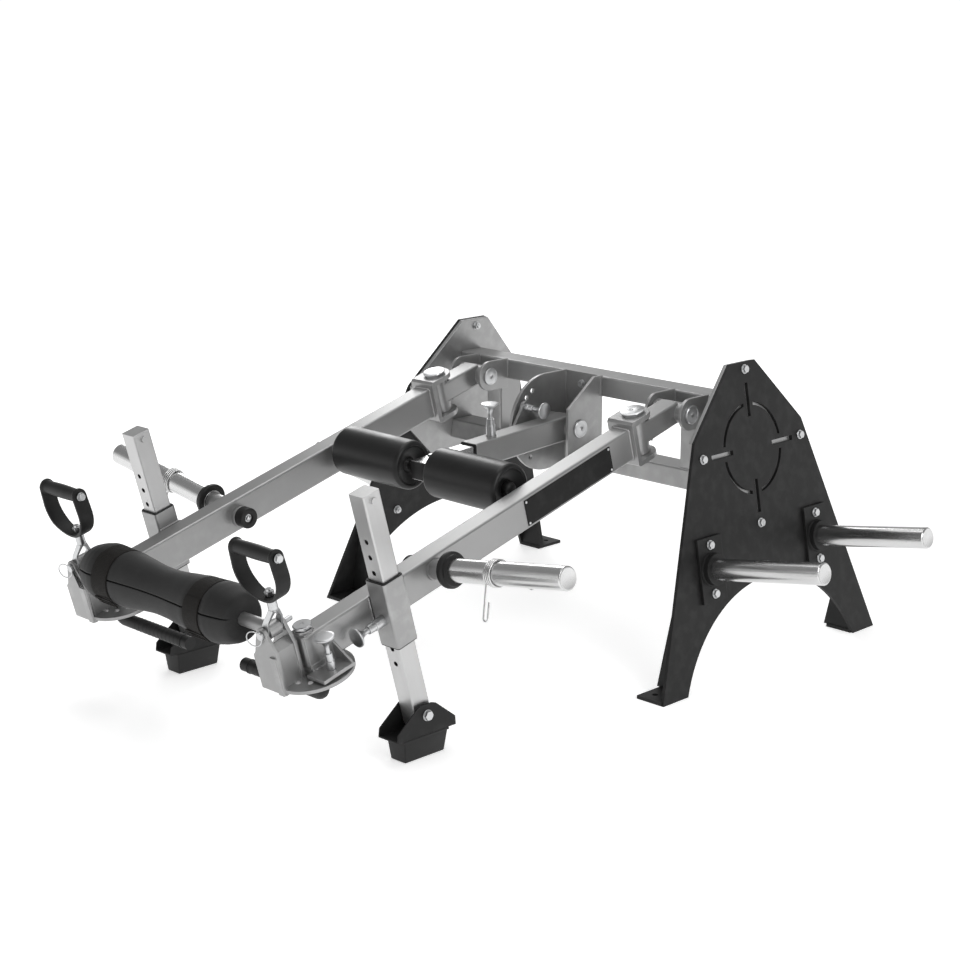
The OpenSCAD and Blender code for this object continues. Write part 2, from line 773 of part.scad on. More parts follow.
module hitch_pin() {
    in_arm() translate([hitch_x, 0, hitch_h]) {
        rod_y(hitch_r, ear2_s2 + ear2_t + 6 - ear2_s1 + 12, -ear2_s2 - ear2_t - 6);
        translate([0, -ear2_s2 - ear2_t - 0.3, 0]) rod_y(9, 6, -6);
        translate([-15, -ear2_s2 - ear2_t - 8.5, -7]) rotate([90, 0, 0]) rotate([0, 20, 0])
            rotate_extrude($fn = 40) translate([16.5, 0]) circle(r = 1.2, $fn = 10);
    }
}

// Fork on the hitch pin, its shank carrying the D-handle

module at_fork() {
    in_arm() translate([hitch_x, -bar_s, hitch_h]) children();
}

fork_x = dee_x - hitch_x;
fork_h = dee_h - hitch_h;

// Thin slice of a fork arm at height z, for the hulls of the arm
module fork_web(k, y0, y1, z) {
    translate([fork_x * z / (fork_h - 25), k * (y0 + y1) / 2, z]) cube([15, y1 - y0, 1], center = true);
}

module fork() {
    at_fork() difference() {
        union() {
            for (k = [-1, 1]) {
                hull() {
                    translate([0, k * 17.5 + 2, 0]) rotate([90, 0, 0]) cylinder(r = 11, h = 4, $fn = 36);
                    fork_web(k, 15.5, 19.5, 26);
                }
                hull() {
                    fork_web(k, 15.5, 19.5, 26);
                    fork_web(k, -1, 8.5, fork_h - 25);
                }
            }
            translate([fork_x, 0, fork_h - 28]) cylinder(r1 = 8, r2 = 10, h = 6);
            translate([fork_x, 0, fork_h - 23]) {
                cylinder(r = 10, h = 22.7);
                cylinder(r = 6, h = 44);
                translate([0, 0, 30.4]) cylinder(r = 10, h = 9, $fn = 6);
            }
        }
        rod_y(hitch_r + slack, 60, -30);
    }
}

// D-shaped strap in the plane across the machine, and its grip

module at_dee() {
    in_arm() translate([dee_x, -bar_s - 6, dee_h]) children();
}

// Outline of the D, drawn in by d on every side but the top
module dee_outline(w, h, d) {
    polygon(concat([for (a = [-180 : 10 : 0]) [(w - d) * cos(a), 0.52 * h + (0.52 * h - d) * sin(a)]],
        [[0.93 * w - d, h + d], [d - 0.93 * w, h + d]]));
}

module dee_strap() {
    h = dee_top - dee_h;
    w = grip_len / 2 + 6;
    at_dee() difference() {
        intersection() {
            translate([0, 20, 0]) rotate([90, 0, 0]) linear_extrude(40) difference() {
                dee_outline(w, h + 17, 0);
                dee_outline(w, h + 17, 6);
            }
            rotate([0, 90, 0]) translate([0, 0, -100]) linear_extrude(200)
                polygon(concat([for (a = [90 : 15 : 270]) [17 * cos(a) - h, 17 * sin(a)]],
                    [[-25, -17], [5, -12], [5, 14], [-25, 17]]));
        }
        translate([0, 6, -10]) cylinder(r = 6.1, h = 30);
        translate([0, 0, h]) rod_x(5.05, 200, -100);
    }
}

module dee_grip() {
    h = dee_top - dee_h;
    l = grip_len - 1;
    at_dee() translate([0, 0, h]) {
        rod_x(grip_r, l, -l / 2);
        rod_x(5, grip_len + 14, -grip_len / 2 - 7);
        for (k = [0, 1]) mirror([k, 0, 0]) translate([grip_len / 2 + 5.4, 0, 0]) rotate([0, 90, 0]) bolt_head(7.5, 5);
    }
}

// Hip bar between the heads, with its foam pad and two straps

module hip_bar() {
    color([0.6, 0.61, 0.62]) in_arm() translate([hitch_x, -bar_s, hitch_h]) difference() {
        union() {
            rod_x(bar_r, 2 * arm_x, -2 * arm_x);
            for (x = [0, -2 * arm_x]) translate([x, 0, 0]) rod_y(bar_r + 2, 30, -15);
        }
        for (x = [0, -2 * arm_x]) translate([x, 0, 0]) rod_y(hitch_r + 0.3, 80, -40);
    }
}

function pad_profile() = [for (i = [0 : 36]) let(u = i / 36, x = (u - 0.5) * pad_len, c = 1 - 0.5 * (1 + cos(360 * u)))
    [x, pad_r - (pad_r - waist_r) * pow(c, 2.2)]];

module hip_pad() {
    l = pad_len / 2;
    taper = [[0.6, 0], [0.655, 3], [0.7, 10], [0.93, 38], [0.98, 50]];
    color([0.1, 0.1, 0.105]) in_arm() translate([pad_x, -bar_s, hitch_h]) rotate([0, 90, 0]) rotate_extrude($fn = 40)
        polygon(concat([[bar_r + 0.3, -l]], [for (t = taper) [pad_r * t[0], t[1] - l]],
            [for (i = [5 : 31]) let(q = pad_profile()[i]) [q[1], q[0]]],
            [for (i = [4 : -1 : 0]) [pad_r * taper[i][0], l - taper[i][1]]], [[bar_r + 0.3, l]]));
}

module pad_straps() {
    color([0.06, 0.055, 0.05]) in_arm() for (k = [-1, 1]) translate([pad_x + 1 + k * 157, -bar_s, hitch_h])
        rotate([0, 90, 0]) translate([0, 0, -25]) ring(pad_r + 2.2, pad_r + 0.3, 50);
}

// Roller arm: pivoting tube, sliding inner tube with cross bar, two rollers

module roller_tube() {
    w = roll_w / 2;
    h = roll_h / 2;
    color([0.55, 0.56, 0.57]) in_roller() difference() {
        union() {
            bar_y(-4, 325, roll_w, roll_h, corner_r);
            rod_x(h - 2, right_x - index_x - 1, index_x + 0.5);
            rotate([90, 0, 90]) translate([0, 0, index_x + 6]) linear_extrude(8) lug_outline();
            block(index_x + 12, -w + 1, -120, -60, -10, 10);
            translate([0, -252, h - 1]) cylinder(r = 12.5, h = 3);
        }
        bar_y(40, 330, roll_w - 8, roll_h - 8, 1.5);
        rod_x(10.05, 200, -100);
        rotate([-pull_a - roll_tilt, 0, 0]) translate([0, -ring_r, 0]) rod_x(10.05, 30, index_x + 2);
        translate([0, -252, h - 6]) cylinder(r = 5.3, h = 20);
    }
}

module lug_outline() {
    a = pull_a + roll_tilt;
    difference() {
        union() {
            translate([-ring_r * cos(a), ring_r * sin(a)]) circle(r = 16);
            polygon([[-ring_r * cos(a) - 16, ring_r * sin(a)], [-ring_r * cos(a) + 10, ring_r * sin(a) + 12],
                [-40, 8], [-40, -20], [-122, -20], [-122, 20]]);
        }
    }
}

module roller_slide() {
    w = roll_w / 2 - 4.6;
    h = roll_h / 2 - 4.6;
    color([0.75, 0.76, 0.77]) in_roller() difference() {
        union() {
            difference() {
                bar_y(110, roll_s - 24, 2 * w, 2 * h, 2);
                bar_y(100, roll_s - 40, 2 * w - 6, 2 * h - 6, 1);
            }
            bar_y(roll_s - 25, roll_s + 24, 50, 44, 3);
            translate([0, -roll_s, 0]) rod_x(12, 2 * (roller_len + 42) + 4, -roller_len - 44);
        }
        for (k = [-2 : 2]) translate([0, -252 + k * 30, h - 4]) cylinder(r = 5.5, h = 8, $fn = 24);
    }
}

module roller_axle_pin() {
    color([0.7, 0.71, 0.72]) translate([0, roll_y, roll_z]) {
        rod_x(10, right_x + right_t - index_x + index_t + 2, index_x - index_t - 1);
        rod_x(22, 5, right_x + right_t);
        rod_x(22, 5, index_x - index_t - 5);
    }
}

module roller_pull() {
    color([0.8, 0.81, 0.82]) in_roller() rotate([-pull_a - roll_tilt, 0, 0])
        translate([index_x + 0.3, -ring_r, 0]) rotate([0, 90, 0]) pull_pin(5.5, 10, 3, 34, 26, 20.5);
}

module length_pull() {
    color([0.8, 0.81, 0.82]) in_roller() translate([0, -252, roll_h / 2 - 4.3]) pull_pin(5, 11.5, 6.6, 40, 25, 21.5);
}

module roller(k) {
    l = roller_len;
    color([0.09, 0.09, 0.095]) in_roller() translate([k > 0 ? 42 : -42 - l, -roll_s, 0]) rotate([0, 90, 0])
        rotate_extrude($fn = 48) polygon(concat([[12.05, 0], [roller_r - 12, 0]],
            [for (a = [-80 : 20 : 0]) [roller_r - 10 + 10 * cos(a), 10 + 10 * sin(a)]],
            [for (a = [0 : 20 : 80]) [roller_r - 10 + 10 * cos(a), l - 10 + 10 * sin(a)]],
            [[roller_r - 12, l], [12.05, l]]));
}

side_plates();
backing_plates();
cross_frame();
lift_pins();
centre_bracket();
frame_bolts();
horn_mounts();
storage_horns();
color([0.6, 0.61, 0.62]) stub_link();  // stub_link_right
color([0.6, 0.61, 0.62]) side(true) stub_link();  // stub_link_left
color([0.6, 0.61, 0.62]) arm(36);  // arm_right
color([0.6, 0.61, 0.62]) side(true) arm(20);  // arm_left
color([0.8, 0.81, 0.82]) hinge_pin();  // hinge_pin_right
color([0.8, 0.81, 0.82]) side(true) hinge_pin();  // hinge_pin_left
color([0.1, 0.1, 0.1]) arm_panel();  // arm_panel_right
color([0.1, 0.1, 0.1]) side(true) arm_panel();  // arm_panel_left
color([0.8, 0.81, 0.82]) horn();  // horn_right
color([0.8, 0.81, 0.82]) side(true) horn();  // horn_left
color([0.1, 0.1, 0.1]) horn_collar();  // horn_collar_right
color([0.1, 0.1, 0.1]) side(true) horn_collar();  // horn_collar_left
color([0.1, 0.1, 0.1]) bump_stop();  // bump_stop_right
color([0.1, 0.1, 0.1]) side(true) bump_stop();  // bump_stop_left
color([0.8, 0.81, 0.82]) clip();  // clip_right
color([0.8, 0.81, 0.82]) side(true) clip();  // clip_left
color([0.75, 0.76, 0.77]) leg();  // leg_right
color([0.75, 0.76, 0.77]) side(true) leg();  // leg_left
color([0.8, 0.81, 0.82]) leg_pin();  // leg_pin_right
color([0.8, 0.81, 0.82]) side(true) leg_pin();  // leg_pin_left
color([0.08, 0.08, 0.08]) foot_bracket();  // foot_bracket_right
color([0.08, 0.08, 0.08]) side(true) foot_bracket();  // foot_bracket_left
color([0.1, 0.1, 0.1]) foot_block();  // foot_block_right
color([0.1, 0.1, 0.1]) side(true) foot_block();  // foot_block_left
color([0.8, 0.81, 0.82]) index_pin();  // index_pin_right
color([0.8, 0.81, 0.82]) side(true) index_pin();  // index_pin_left
color([0.6, 0.61, 0.62]) head(1);  // head_right
color([0.6, 0.61, 0.62]) across() head(-1);  // head_left
color([0.75, 0.76, 0.77]) head_pin();  // head_pin_right
color([0.75, 0.76, 0.77]) side(true) head_pin();  // head_pin_left
color([0.1, 0.1, 0.1]) low_grip();  // low_grip_right
color([0.1, 0.1, 0.1]) side(true) low_grip();  // low_grip_left
color([0.8, 0.81, 0.82]) hitch_pin();  // hitch_pin_right
color([0.8, 0.81, 0.82]) across() hitch_pin();  // hitch_pin_left
color([0.75, 0.76, 0.77]) fork();  // fork_right
color([0.75, 0.76, 0.77]) across() fork();  // fork_left
color([0.08, 0.08, 0.08]) dee_strap();  // dee_strap_right
color([0.08, 0.08, 0.08]) across() dee_strap();  // dee_strap_left
color([0.1, 0.1, 0.1]) dee_grip();  // dee_grip_right
color([0.1, 0.1, 0.1]) across() dee_grip();  // dee_grip_left
hip_bar();
hip_pad();
pad_straps();
roller_tube();
roller_slide();
roller_axle_pin();
roller_pull();
length_pull();
roller(1);  // roller_right
roller(-1);  // roller_left
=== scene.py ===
"""Looks of the plate-loaded deadlift machine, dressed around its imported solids.

Pieces are drawn in millimetres. The camera, lights, floor and finishes are in metres.
"""
import json
import math

import bmesh
import bpy
from mathutils import Matrix, Vector, noise


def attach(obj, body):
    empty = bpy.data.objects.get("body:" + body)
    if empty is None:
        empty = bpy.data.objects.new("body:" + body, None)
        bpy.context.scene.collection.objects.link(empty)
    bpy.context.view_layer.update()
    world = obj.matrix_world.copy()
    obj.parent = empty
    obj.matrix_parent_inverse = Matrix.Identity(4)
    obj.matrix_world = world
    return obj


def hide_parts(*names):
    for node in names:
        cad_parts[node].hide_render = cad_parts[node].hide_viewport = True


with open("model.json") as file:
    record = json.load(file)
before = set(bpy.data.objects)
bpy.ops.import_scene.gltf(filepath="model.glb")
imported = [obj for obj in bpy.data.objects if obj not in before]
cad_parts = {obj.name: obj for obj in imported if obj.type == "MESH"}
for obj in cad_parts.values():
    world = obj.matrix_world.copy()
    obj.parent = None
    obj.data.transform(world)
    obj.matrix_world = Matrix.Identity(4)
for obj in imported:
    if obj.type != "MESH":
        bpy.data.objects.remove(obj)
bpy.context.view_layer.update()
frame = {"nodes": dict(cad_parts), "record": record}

MM = 0.001
SIDES = {"right": 1, "left": -1}

# x is to the right, y to the back and z up, from the middle of the floor. S is the
# distance along an arm from its axle, and H the height above the middle of its tube.
ARM_X, LEG_X, HITCH_X = 324, 377.5, 303
HINGE_S, HORN_S, LEG_S, HEAD_S, BAR_S = 132, 812, 968, 1150, 1206
HITCH_H = 67
ARM_W, ARM_D = 50, 75
LIFT_AXLE = (-102, 582)
ROLLER_AXLE = (-118, 500)
ARM_TILT = math.radians(15.4)
PLATE_X = 565
PLATE_LEAN = 10


# Places, as matrices in millimetres

def shift(x, y, z):
    return Matrix.Translation((x, y, z))


def turn(axis, degrees):
    return Matrix.Rotation(math.radians(degrees), 4, axis)


STAY = Matrix.Identity(4)
ARM = shift(0, *LIFT_AXLE) @ Matrix.Rotation(ARM_TILT, 4, "X")
ROLLER = shift(0, *ROLLER_AXLE) @ turn("X", 3.5)
HORN = ARM @ shift(ARM_X, 0, 3) @ turn("Y", -10) @ shift(26, -HORN_S, 0) @ turn("Y", 90)
ACROSS = shift(-2 * ARM_X, 0, 0)
FLIP = Matrix.Diagonal((-1, 1, 1, 1))


def mirrored(place, side):
    """The right side's place, or its mirror image on the left."""
    return place if side == "right" else FLIP @ place


def copied(place, side):
    """The right side's place, or the same one moved across to the left arm."""
    return place if side == "right" else ACROSS @ place


def on_plate(y, z):
    """A spot on the right side plate's outer face, with z pointing out of it."""
    x = PLATE_X - z * math.tan(math.radians(PLATE_LEAN))
    return shift(x, y, z) @ turn("Y", 90 - PLATE_LEAN)


# Finishes

class Value:
    """A socket that takes part in Python arithmetic."""

    def __init__(self, finish, socket):
        self.finish = finish
        self.socket = socket

    def maths(self, operation, *values):
        return self.finish.node("ShaderNodeMath", {"operation": operation}, dict(enumerate(values)))

    def __add__(self, other):
        return self.maths("ADD", self, other)

    def __radd__(self, other):
        return self.maths("ADD", other, self)

    def __sub__(self, other):
        return self.maths("SUBTRACT", self, other)

    def __rsub__(self, other):
        return self.maths("SUBTRACT", other, self)

    def __mul__(self, other):
        return self.maths("MULTIPLY", self, other)

    def __rmul__(self, other):
        return self.maths("MULTIPLY", other, self)


class Finish:
    """One procedural material and the nodes that make it."""

    def __init__(self, name, **constants):
        self.material = bpy.data.materials.new(name)
        self.material.use_nodes = True
        self.tree = self.material.node_tree
        self.shader = self.tree.nodes["Principled BSDF"]
        self.place = self.node("ShaderNodeTexCoord", output="Object")
        for key, value in constants.items():
            self.shader.inputs[key.replace("_", " ")].default_value = value

    def node(self, kind, settings=None, inputs=None, output=0):
        """Adds a node: its settings first, then the values or links of its inputs."""
        made = self.tree.nodes.new(kind)
        for key, value in (settings or {}).items():
            setattr(made, key, value)
        for key, value in (inputs or {}).items():
            if isinstance(value, Value):
                self.tree.links.new(value.socket, made.inputs[key])
            else:
                made.inputs[key].default_value = value
        return Value(self, made.outputs[output])

    def send(self, key, value):
        self.tree.links.new(value.socket, self.shader.inputs[key])

    def noise(self, scale, detail, vector=None):
        inputs = {"Vector": vector or self.place, "Scale": scale, "Detail": detail}
        return self.node("ShaderNodeTexNoise", {}, inputs)

    def span(self, value, low, high, to_low=0.0, to_high=1.0):
        inputs = {"Value": value, "From Min": low, "From Max": high, "To Min": to_low, "To Max": to_high}
        return self.node("ShaderNodeMapRange", {}, inputs)

    def mix(self, factor, a, b):
        return self.node("ShaderNodeMix", {"data_type": "RGBA"}, {0: factor, 6: a, 7: b}, output=2)

    def stretched(self, factors, rotation):
        """The piece's own place, turned and then stretched."""
        tilted = self.node("ShaderNodeMapping", {}, {"Vector": self.place, "Rotation": rotation})
        return self.node("ShaderNodeMapping", {}, {"Vector": tilted, "Scale": factors})

    def edges(self):
        """1 on outer edges, 0 on flats and in hollows."""
        sharp = self.node("ShaderNodeNewGeometry", output="Pointiness")
        return self.span(sharp, 0.51, 0.56)

    def relief(self, height, distance, strength):
        inputs = {"Height": height, "Distance": distance, "Strength": strength}
        self.send("Normal", self.node("ShaderNodeBump", {}, inputs))


def grey(v, warm=0.0):
    """A grey as a colour, a little red if warm is over 0 and a little blue if under."""
    return (v * (1 + warm), v, v * (1 - warm), 1)


def powder_coat(name, shade, roughness, speck, metallic=0.0, gloss=0.5):
    """Fine-grained paint, cloudy by the share speck and worn paler on its edges."""
    f = Finish(name, Metallic=metallic, Specular_IOR_Level=gloss)
    cloud = f.noise(6, 4)
    grain = f.noise(900, 2)
    worn = f.edges() * f.span(f.noise(35, 5), 0.45, 0.7)
    tint = f.mix(f.span(cloud, 0.3, 0.7), grey(shade * (1 - speck)), grey(shade * (1 + speck)))
    tint = f.mix(worn * 0.35, tint, grey(shade * 1.5 + 0.02))
    f.send("Base Color", tint)
    even = f.span(cloud, 0.2, 0.8, roughness - 0.015, roughness + 0.015)
    f.send("Roughness", even + grain * 0.08 - 0.04)
    f.relief(grain, 0.00006, 0.6)
    return f.material


def plated(name, shade, roughness, smear, scale=(1, 1, 1), rotation=(0, 0, 0), tone=0.0):
    """Bare or plated metal, its roughness smeared along the way the scale draws it out."""
    f = Finish(name, Metallic=1.0)
    streaks = f.noise(70, 2, f.stretched(scale, rotation))
    cloud = f.noise(9, 3)
    f.send("Base Color", f.mix(f.span(cloud, 0.3, 0.7), grey(shade * 0.93, tone), grey(shade, tone)))
    smeared = f.span(streaks, 0.3, 0.7, roughness * (1 - smear), roughness * (1 + smear))
    f.send("Roughness", smeared + f.span(cloud, 0.35, 0.75, 0, 0.02))
    return f.material


def moulded(name, shade, roughness, pebble, depth, gloss):
    """Rubber, foam skin or vinyl with a pebbled face and paler scuffs."""
    f = Finish(name, Specular_IOR_Level=gloss)
    cells = f.node("ShaderNodeTexVoronoi", {"feature": "SMOOTH_F1"}, {"Vector": f.place, "Scale": pebble})
    cloud = f.noise(14, 4)
    scuff = f.span(f.noise(55, 5), 0.56, 0.72)
    clouded = f.mix(cloud, grey(shade * 0.85), grey(shade * 1.15))
    f.send("Base Color", f.mix(scuff * 0.5, clouded, grey(shade * 1.45)))
    f.send("Roughness", f.span(cloud, 0.3, 0.7, roughness - 0.05, roughness + 0.05) + scuff * 0.05)
    f.relief(cells, depth, 0.7)
    return f.material


def woven(name, shade, warm):
    """Webbing with its ribs one way and its picks the other."""
    f = Finish(name, Specular_IOR_Level=0.25)

    def bands(way, scale, bend):
        settings = {"wave_type": "BANDS", "bands_direction": way}
        return f.node("ShaderNodeTexWave", settings, {"Vector": f.place, "Scale": scale, "Distortion": bend})

    weave = bands("X", 330, 0.4) * 0.6 + bands("Z", 210, 0.8) * 0.4
    f.send("Base Color", f.mix(weave, grey(shade * 0.7, warm), grey(shade * 1.3, warm)))
    f.send("Roughness", f.span(weave, 0, 1, 0.85, 0.7))
    f.relief(weave, 0.0003, 0.8)
    return f.material


LOOKS = {
    "silver_steel": powder_coat("silver_steel_paint", 0.33, 0.36, speck=0.015, metallic=0.75),
    "black_steel": powder_coat("black_steel_powder", 0.0105, 0.48, speck=0.03, gloss=0.22),
    "black_sheet": powder_coat("black_sheet_matt", 0.0105, 0.6, speck=0.03, gloss=0.2),
    "zinc": plated("zinc_plate", 0.6, 0.3, smear=0.1, tone=-0.01),
    "chrome": plated("chrome_plate", 0.64, 0.24, smear=0.12, scale=(0.15, 1, 1)),
    "leg_plate": plated("brushed_leg_plate", 0.55, 0.4, smear=0.12, scale=(1.4, 1.4, 0.05),
                        rotation=(-ARM_TILT, 0, 0)),
    "rubber": moulded("black_rubber", 0.011, 0.5, 900, 0.00012, gloss=0.3),
    "foam": moulded("foam_skin", 0.022, 0.62, 1100, 0.00018, gloss=0.3),
    "roller_foam": moulded("roller_vinyl", 0.008, 0.36, 700, 0.0001, gloss=0.35),
    "webbing": woven("black_webbing", 0.009, warm=0.12),
}


# Meshes

def piece(name, bm, place, look, body, hides=(), smooth=40):
    """Turns a mesh drawn in millimetres into a piece at its place, riding on a body."""
    bmesh.ops.remove_doubles(bm, verts=bm.verts, dist=1e-4)
    matrix = Matrix.Scale(MM, 4) @ place
    bm.transform(matrix)
    bmesh.ops.recalc_face_normals(bm, faces=bm.faces)
    limit = math.radians(smooth)
    for face in bm.faces:
        face.smooth = True
    for edge in bm.edges:
        if len(edge.link_faces) == 2 and edge.calc_face_angle() > limit:
            edge.smooth = False
    mesh = bpy.data.meshes.new(name)
    bm.to_mesh(mesh)
    bm.free()
    mesh.materials.append(LOOKS[look])
    made = bpy.data.objects.new(name, mesh)
    bpy.context.scene.collection.objects.link(made)
    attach(made, body)
    if hides:
        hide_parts(*hides)
    return made


def rings_to(bm, rings, caps=True, place=None):
    """Skins a list of closed rings of points."""
    place = place or STAY
    loops = [[bm.verts.new(place @ Vector(p)) for p in ring] for ring in rings]
    for low, high in zip(loops, loops[1:]):
        count = len(low)
        for i in range(count):
            j = (i + 1) % count
            bm.faces.new((low[i], low[j], high[j], high[i]))
    if caps:
        bm.faces.new(list(reversed(loops[0])))
        bm.faces.new(loops[-1])
    return loops


def turned(bm, profile, place, count):
    """A turned part: profile of (radius, height) about z. A radius of 0 closes an end."""
    place = place or STAY
    angles = [math.tau * i / count for i in range(count)]
    rings = []
    for r, z in profile:
        if r <= 0:
            rings.append([bm.verts.new(place @ Vector((0, 0, z)))])
        else:
            ring = [Vector((r * math.cos(a), r * math.sin(a), z)) for a in angles]
            rings.append([bm.verts.new(place @ p) for p in ring])
    for low, high in zip(rings, rings[1:]):
        for i in range(count):
            j = (i + 1) % count
            corners = [low[i % len(low)], low[j % len(low)], high[j % len(high)], high[i % len(high)]]
            unique = list(dict.fromkeys(corners))
            if len(unique) > 2:
                bm.faces.new(unique)


def hexagon(bm, across, height, place=None, dish=0.0):
    """A hexagon head with its chamfered corners."""
    flat = across / 2
    count = 48
    rim = []
    for a in (math.tau * i / count for i in range(count)):
        from_flat = (a + math.pi / 6) % (math.pi / 3) - math.pi / 6
        rim.append((flat / math.cos(from_flat), math.cos(a), math.sin(a)))
    low = [(r * c, r * s, 0) for r, c, s in rim]
    high = [(r * c, r * s, height - (r - flat * 0.96) * 0.55) for r, c, s in rim]
    top = [(flat * 0.9 * c, flat * 0.9 * s, height) for r, c, s in rim]
    inner = [(flat * 0.6 * c, flat * 0.6 * s, height - dish) for r, c, s in rim]
    rings_to(bm, [low, high, top, inner], place=place)


def washer(bm, radius, inner, thick, place=None):
    e = min(0.4, thick / 3)
    rim = [(radius - e, 0), (radius, e), (radius, thick - e), (radius - e, thick)]
    turned(bm, [(inner, 0)] + rim + [(inner, thick), (inner, 0)], place, 40)


def bolt(bm, place, across, height, disc):
    """A washer of radius disc with a hexagon head on it."""
    thick = 1.8
    washer(bm, disc, 4, thick, place)
    hexagon(bm, across, height, place @ shift(0, 0, thick), 0.3)


def swept(bm, points, radii, count, place=None, caps=True):
    """A round bar along points, carried without twist, with one radius or one for each point."""
    points = [Vector(p) for p in points]
    last = len(points) - 1
    tangents = [(points[min(i + 1, last)] - points[max(i - 1, 0)]).normalized() for i in range(last + 1)]
    side = tangents[0].orthogonal().normalized()
    rings = []
    for i, (p, t) in enumerate(zip(points, tangents)):
        side = (side - t * side.dot(t)).normalized()
        other = t.cross(side)
        r = radii[i] if isinstance(radii, list) else radii
        rings.append([p + r * (side * math.cos(a) + other * math.sin(a))
                      for a in (math.tau * k / count for k in range(count))])
    rings_to(bm, rings, caps=caps, place=place)


def arc(centre, radius, start, end, count, a, b):
    """Points from one angle to another, where a is the way to 0 degrees and b to 90."""
    centre, a, b = Vector(centre), Vector(a), Vector(b)
    steps = [math.radians(start + (end - start) * i / count) for i in range(count + 1)]
    return [centre + radius * (a * math.cos(t) + b * math.sin(t)) for t in steps]


def weld(bm, points, radius, place=None, closed=False):
    """A weld bead: a low bar with the ripples of its passes."""
    points = [Vector(p) for p in points]
    if closed:
        points = points + points[:1]
    path = []
    for p, q in zip(points, points[1:]):
        steps = max(2, int((q - p).length / 1.6))
        path += [p.lerp(q, i / steps) for i in range(steps)]
    path.append(points[-1])
    radii = []
    for i, p in enumerate(path):
        radii.append(radius * (1 + 0.1 * math.sin(i * 2.1) + 0.06 * noise.noise(p * 0.35)))
    swept(bm, path, radii, 8, place)


def rounded_box(bm, low, high, edge, place=None):
    """A block between two corners, its edges rounded, or left sharp for an edge of 0."""
    made = bmesh.ops.create_cube(bm, size=1)["verts"]
    size = Vector(high) - Vector(low)
    middle = (Vector(high) + Vector(low)) / 2
    for v in made:
        v.co = Vector(a * b for a, b in zip(v.co, size)) + middle
    if edge:
        edges = list(dict.fromkeys(e for v in made for e in v.link_edges))
        rounded = bmesh.ops.bevel(bm, geom=edges, offset=edge, segments=2, profile=0.5, affect="EDGES")
        made = rounded["verts"]
    if place:
        bmesh.ops.transform(bm, matrix=place, verts=made)
    return made


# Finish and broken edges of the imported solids

def soften(node, width):
    """Breaks the sharp edges of a solid without touching its mesh."""
    joined = node.modifiers.new("joined", "WELD")
    joined.merge_threshold = 2e-6
    flat = node.modifiers.new("flats", "DECIMATE")
    flat.decimate_type = "DISSOLVE"
    flat.angle_limit = math.radians(0.4)
    bevel = node.modifiers.new("broken_edges", "BEVEL")
    bevel.width = width * MM
    bevel.segments = 2
    bevel.limit_method = "ANGLE"
    bevel.angle_limit = math.radians(32)
    bevel.use_clamp_overlap = False
    bevel.harden_normals = False
    bevel.miter_outer = "MITER_ARC"
    even = node.modifiers.new("even_shading", "WEIGHTED_NORMAL")
    even.keep_sharp = False
    even.weight = 80


SLOTS = {part["node"]: part["material_slot"] for part in frame["record"]["subparts"]}
EDGES = {"chrome": 0.5, "zinc": 0.4, "rubber": 0.8}
STEEL_EDGE = 0.9
for name, node in frame["nodes"].items():
    slot = SLOTS[name]
    look = "leg_plate" if name in ("leg_right", "leg_left") else slot
    node.data.materials.clear()
    node.data.materials.append(LOOKS[look])
    if name != "side_plates":
        soften(node, EDGES.get(slot, STEEL_EDGE))


# Camera, light and floor

def light(name, at, aim, size, power):
    """A soft rectangular lamp at one spot, aimed at another."""
    lamp = bpy.data.lights.new(name, "AREA")
    lamp.shape = "RECTANGLE"
    lamp.size, lamp.size_y = size
    lamp.energy = power
    made = bpy.data.objects.new(name, lamp)
    made.location = at
    made.rotation_euler = (Vector(aim) - Vector(at)).to_track_quat("-Z", "Y").to_euler()
    bpy.context.scene.collection.objects.link(made)


def viewpoint():
    """The camera, where the photograph was taken from."""
    camera = bpy.data.cameras.new("camera")
    camera.lens = 74.06
    camera.sensor_width = 36
    camera.clip_end = 60
    made = bpy.data.objects.new("camera", camera)
    made.location = (3.1652, -3.5777, 1.5408)
    made.rotation_euler = (math.radians(75.89), 0, math.radians(44.96))
    bpy.context.scene.collection.objects.link(made)
    bpy.context.scene.camera = made
    bpy.context.scene.view_settings.view_transform = "Standard"


def surroundings():
    """White at the horizon and greyer overhead, for the metal to mirror."""
    world = bpy.data.worlds.new("studio")
    world.use_nodes = True
    tree = world.node_tree
    toward = tree.nodes.new("ShaderNodeTexCoord")
    split = tree.nodes.new("ShaderNodeSeparateXYZ")
    fade = tree.nodes.new("ShaderNodeMapRange")
    tree.links.new(toward.outputs["Generated"], split.inputs[0])
    tree.links.new(split.outputs[2], fade.inputs["Value"])
    for key, value in {"From Min": 0.06, "From Max": 0.4, "To Min": 1.05, "To Max": 0.3}.items():
        fade.inputs[key].default_value = value
    tree.links.new(fade.outputs[0], tree.nodes["Background"].inputs["Strength"])
    tree.nodes["Background"].inputs["Color"].default_value = (1, 1, 1, 1)
    bpy.context.scene.world = world


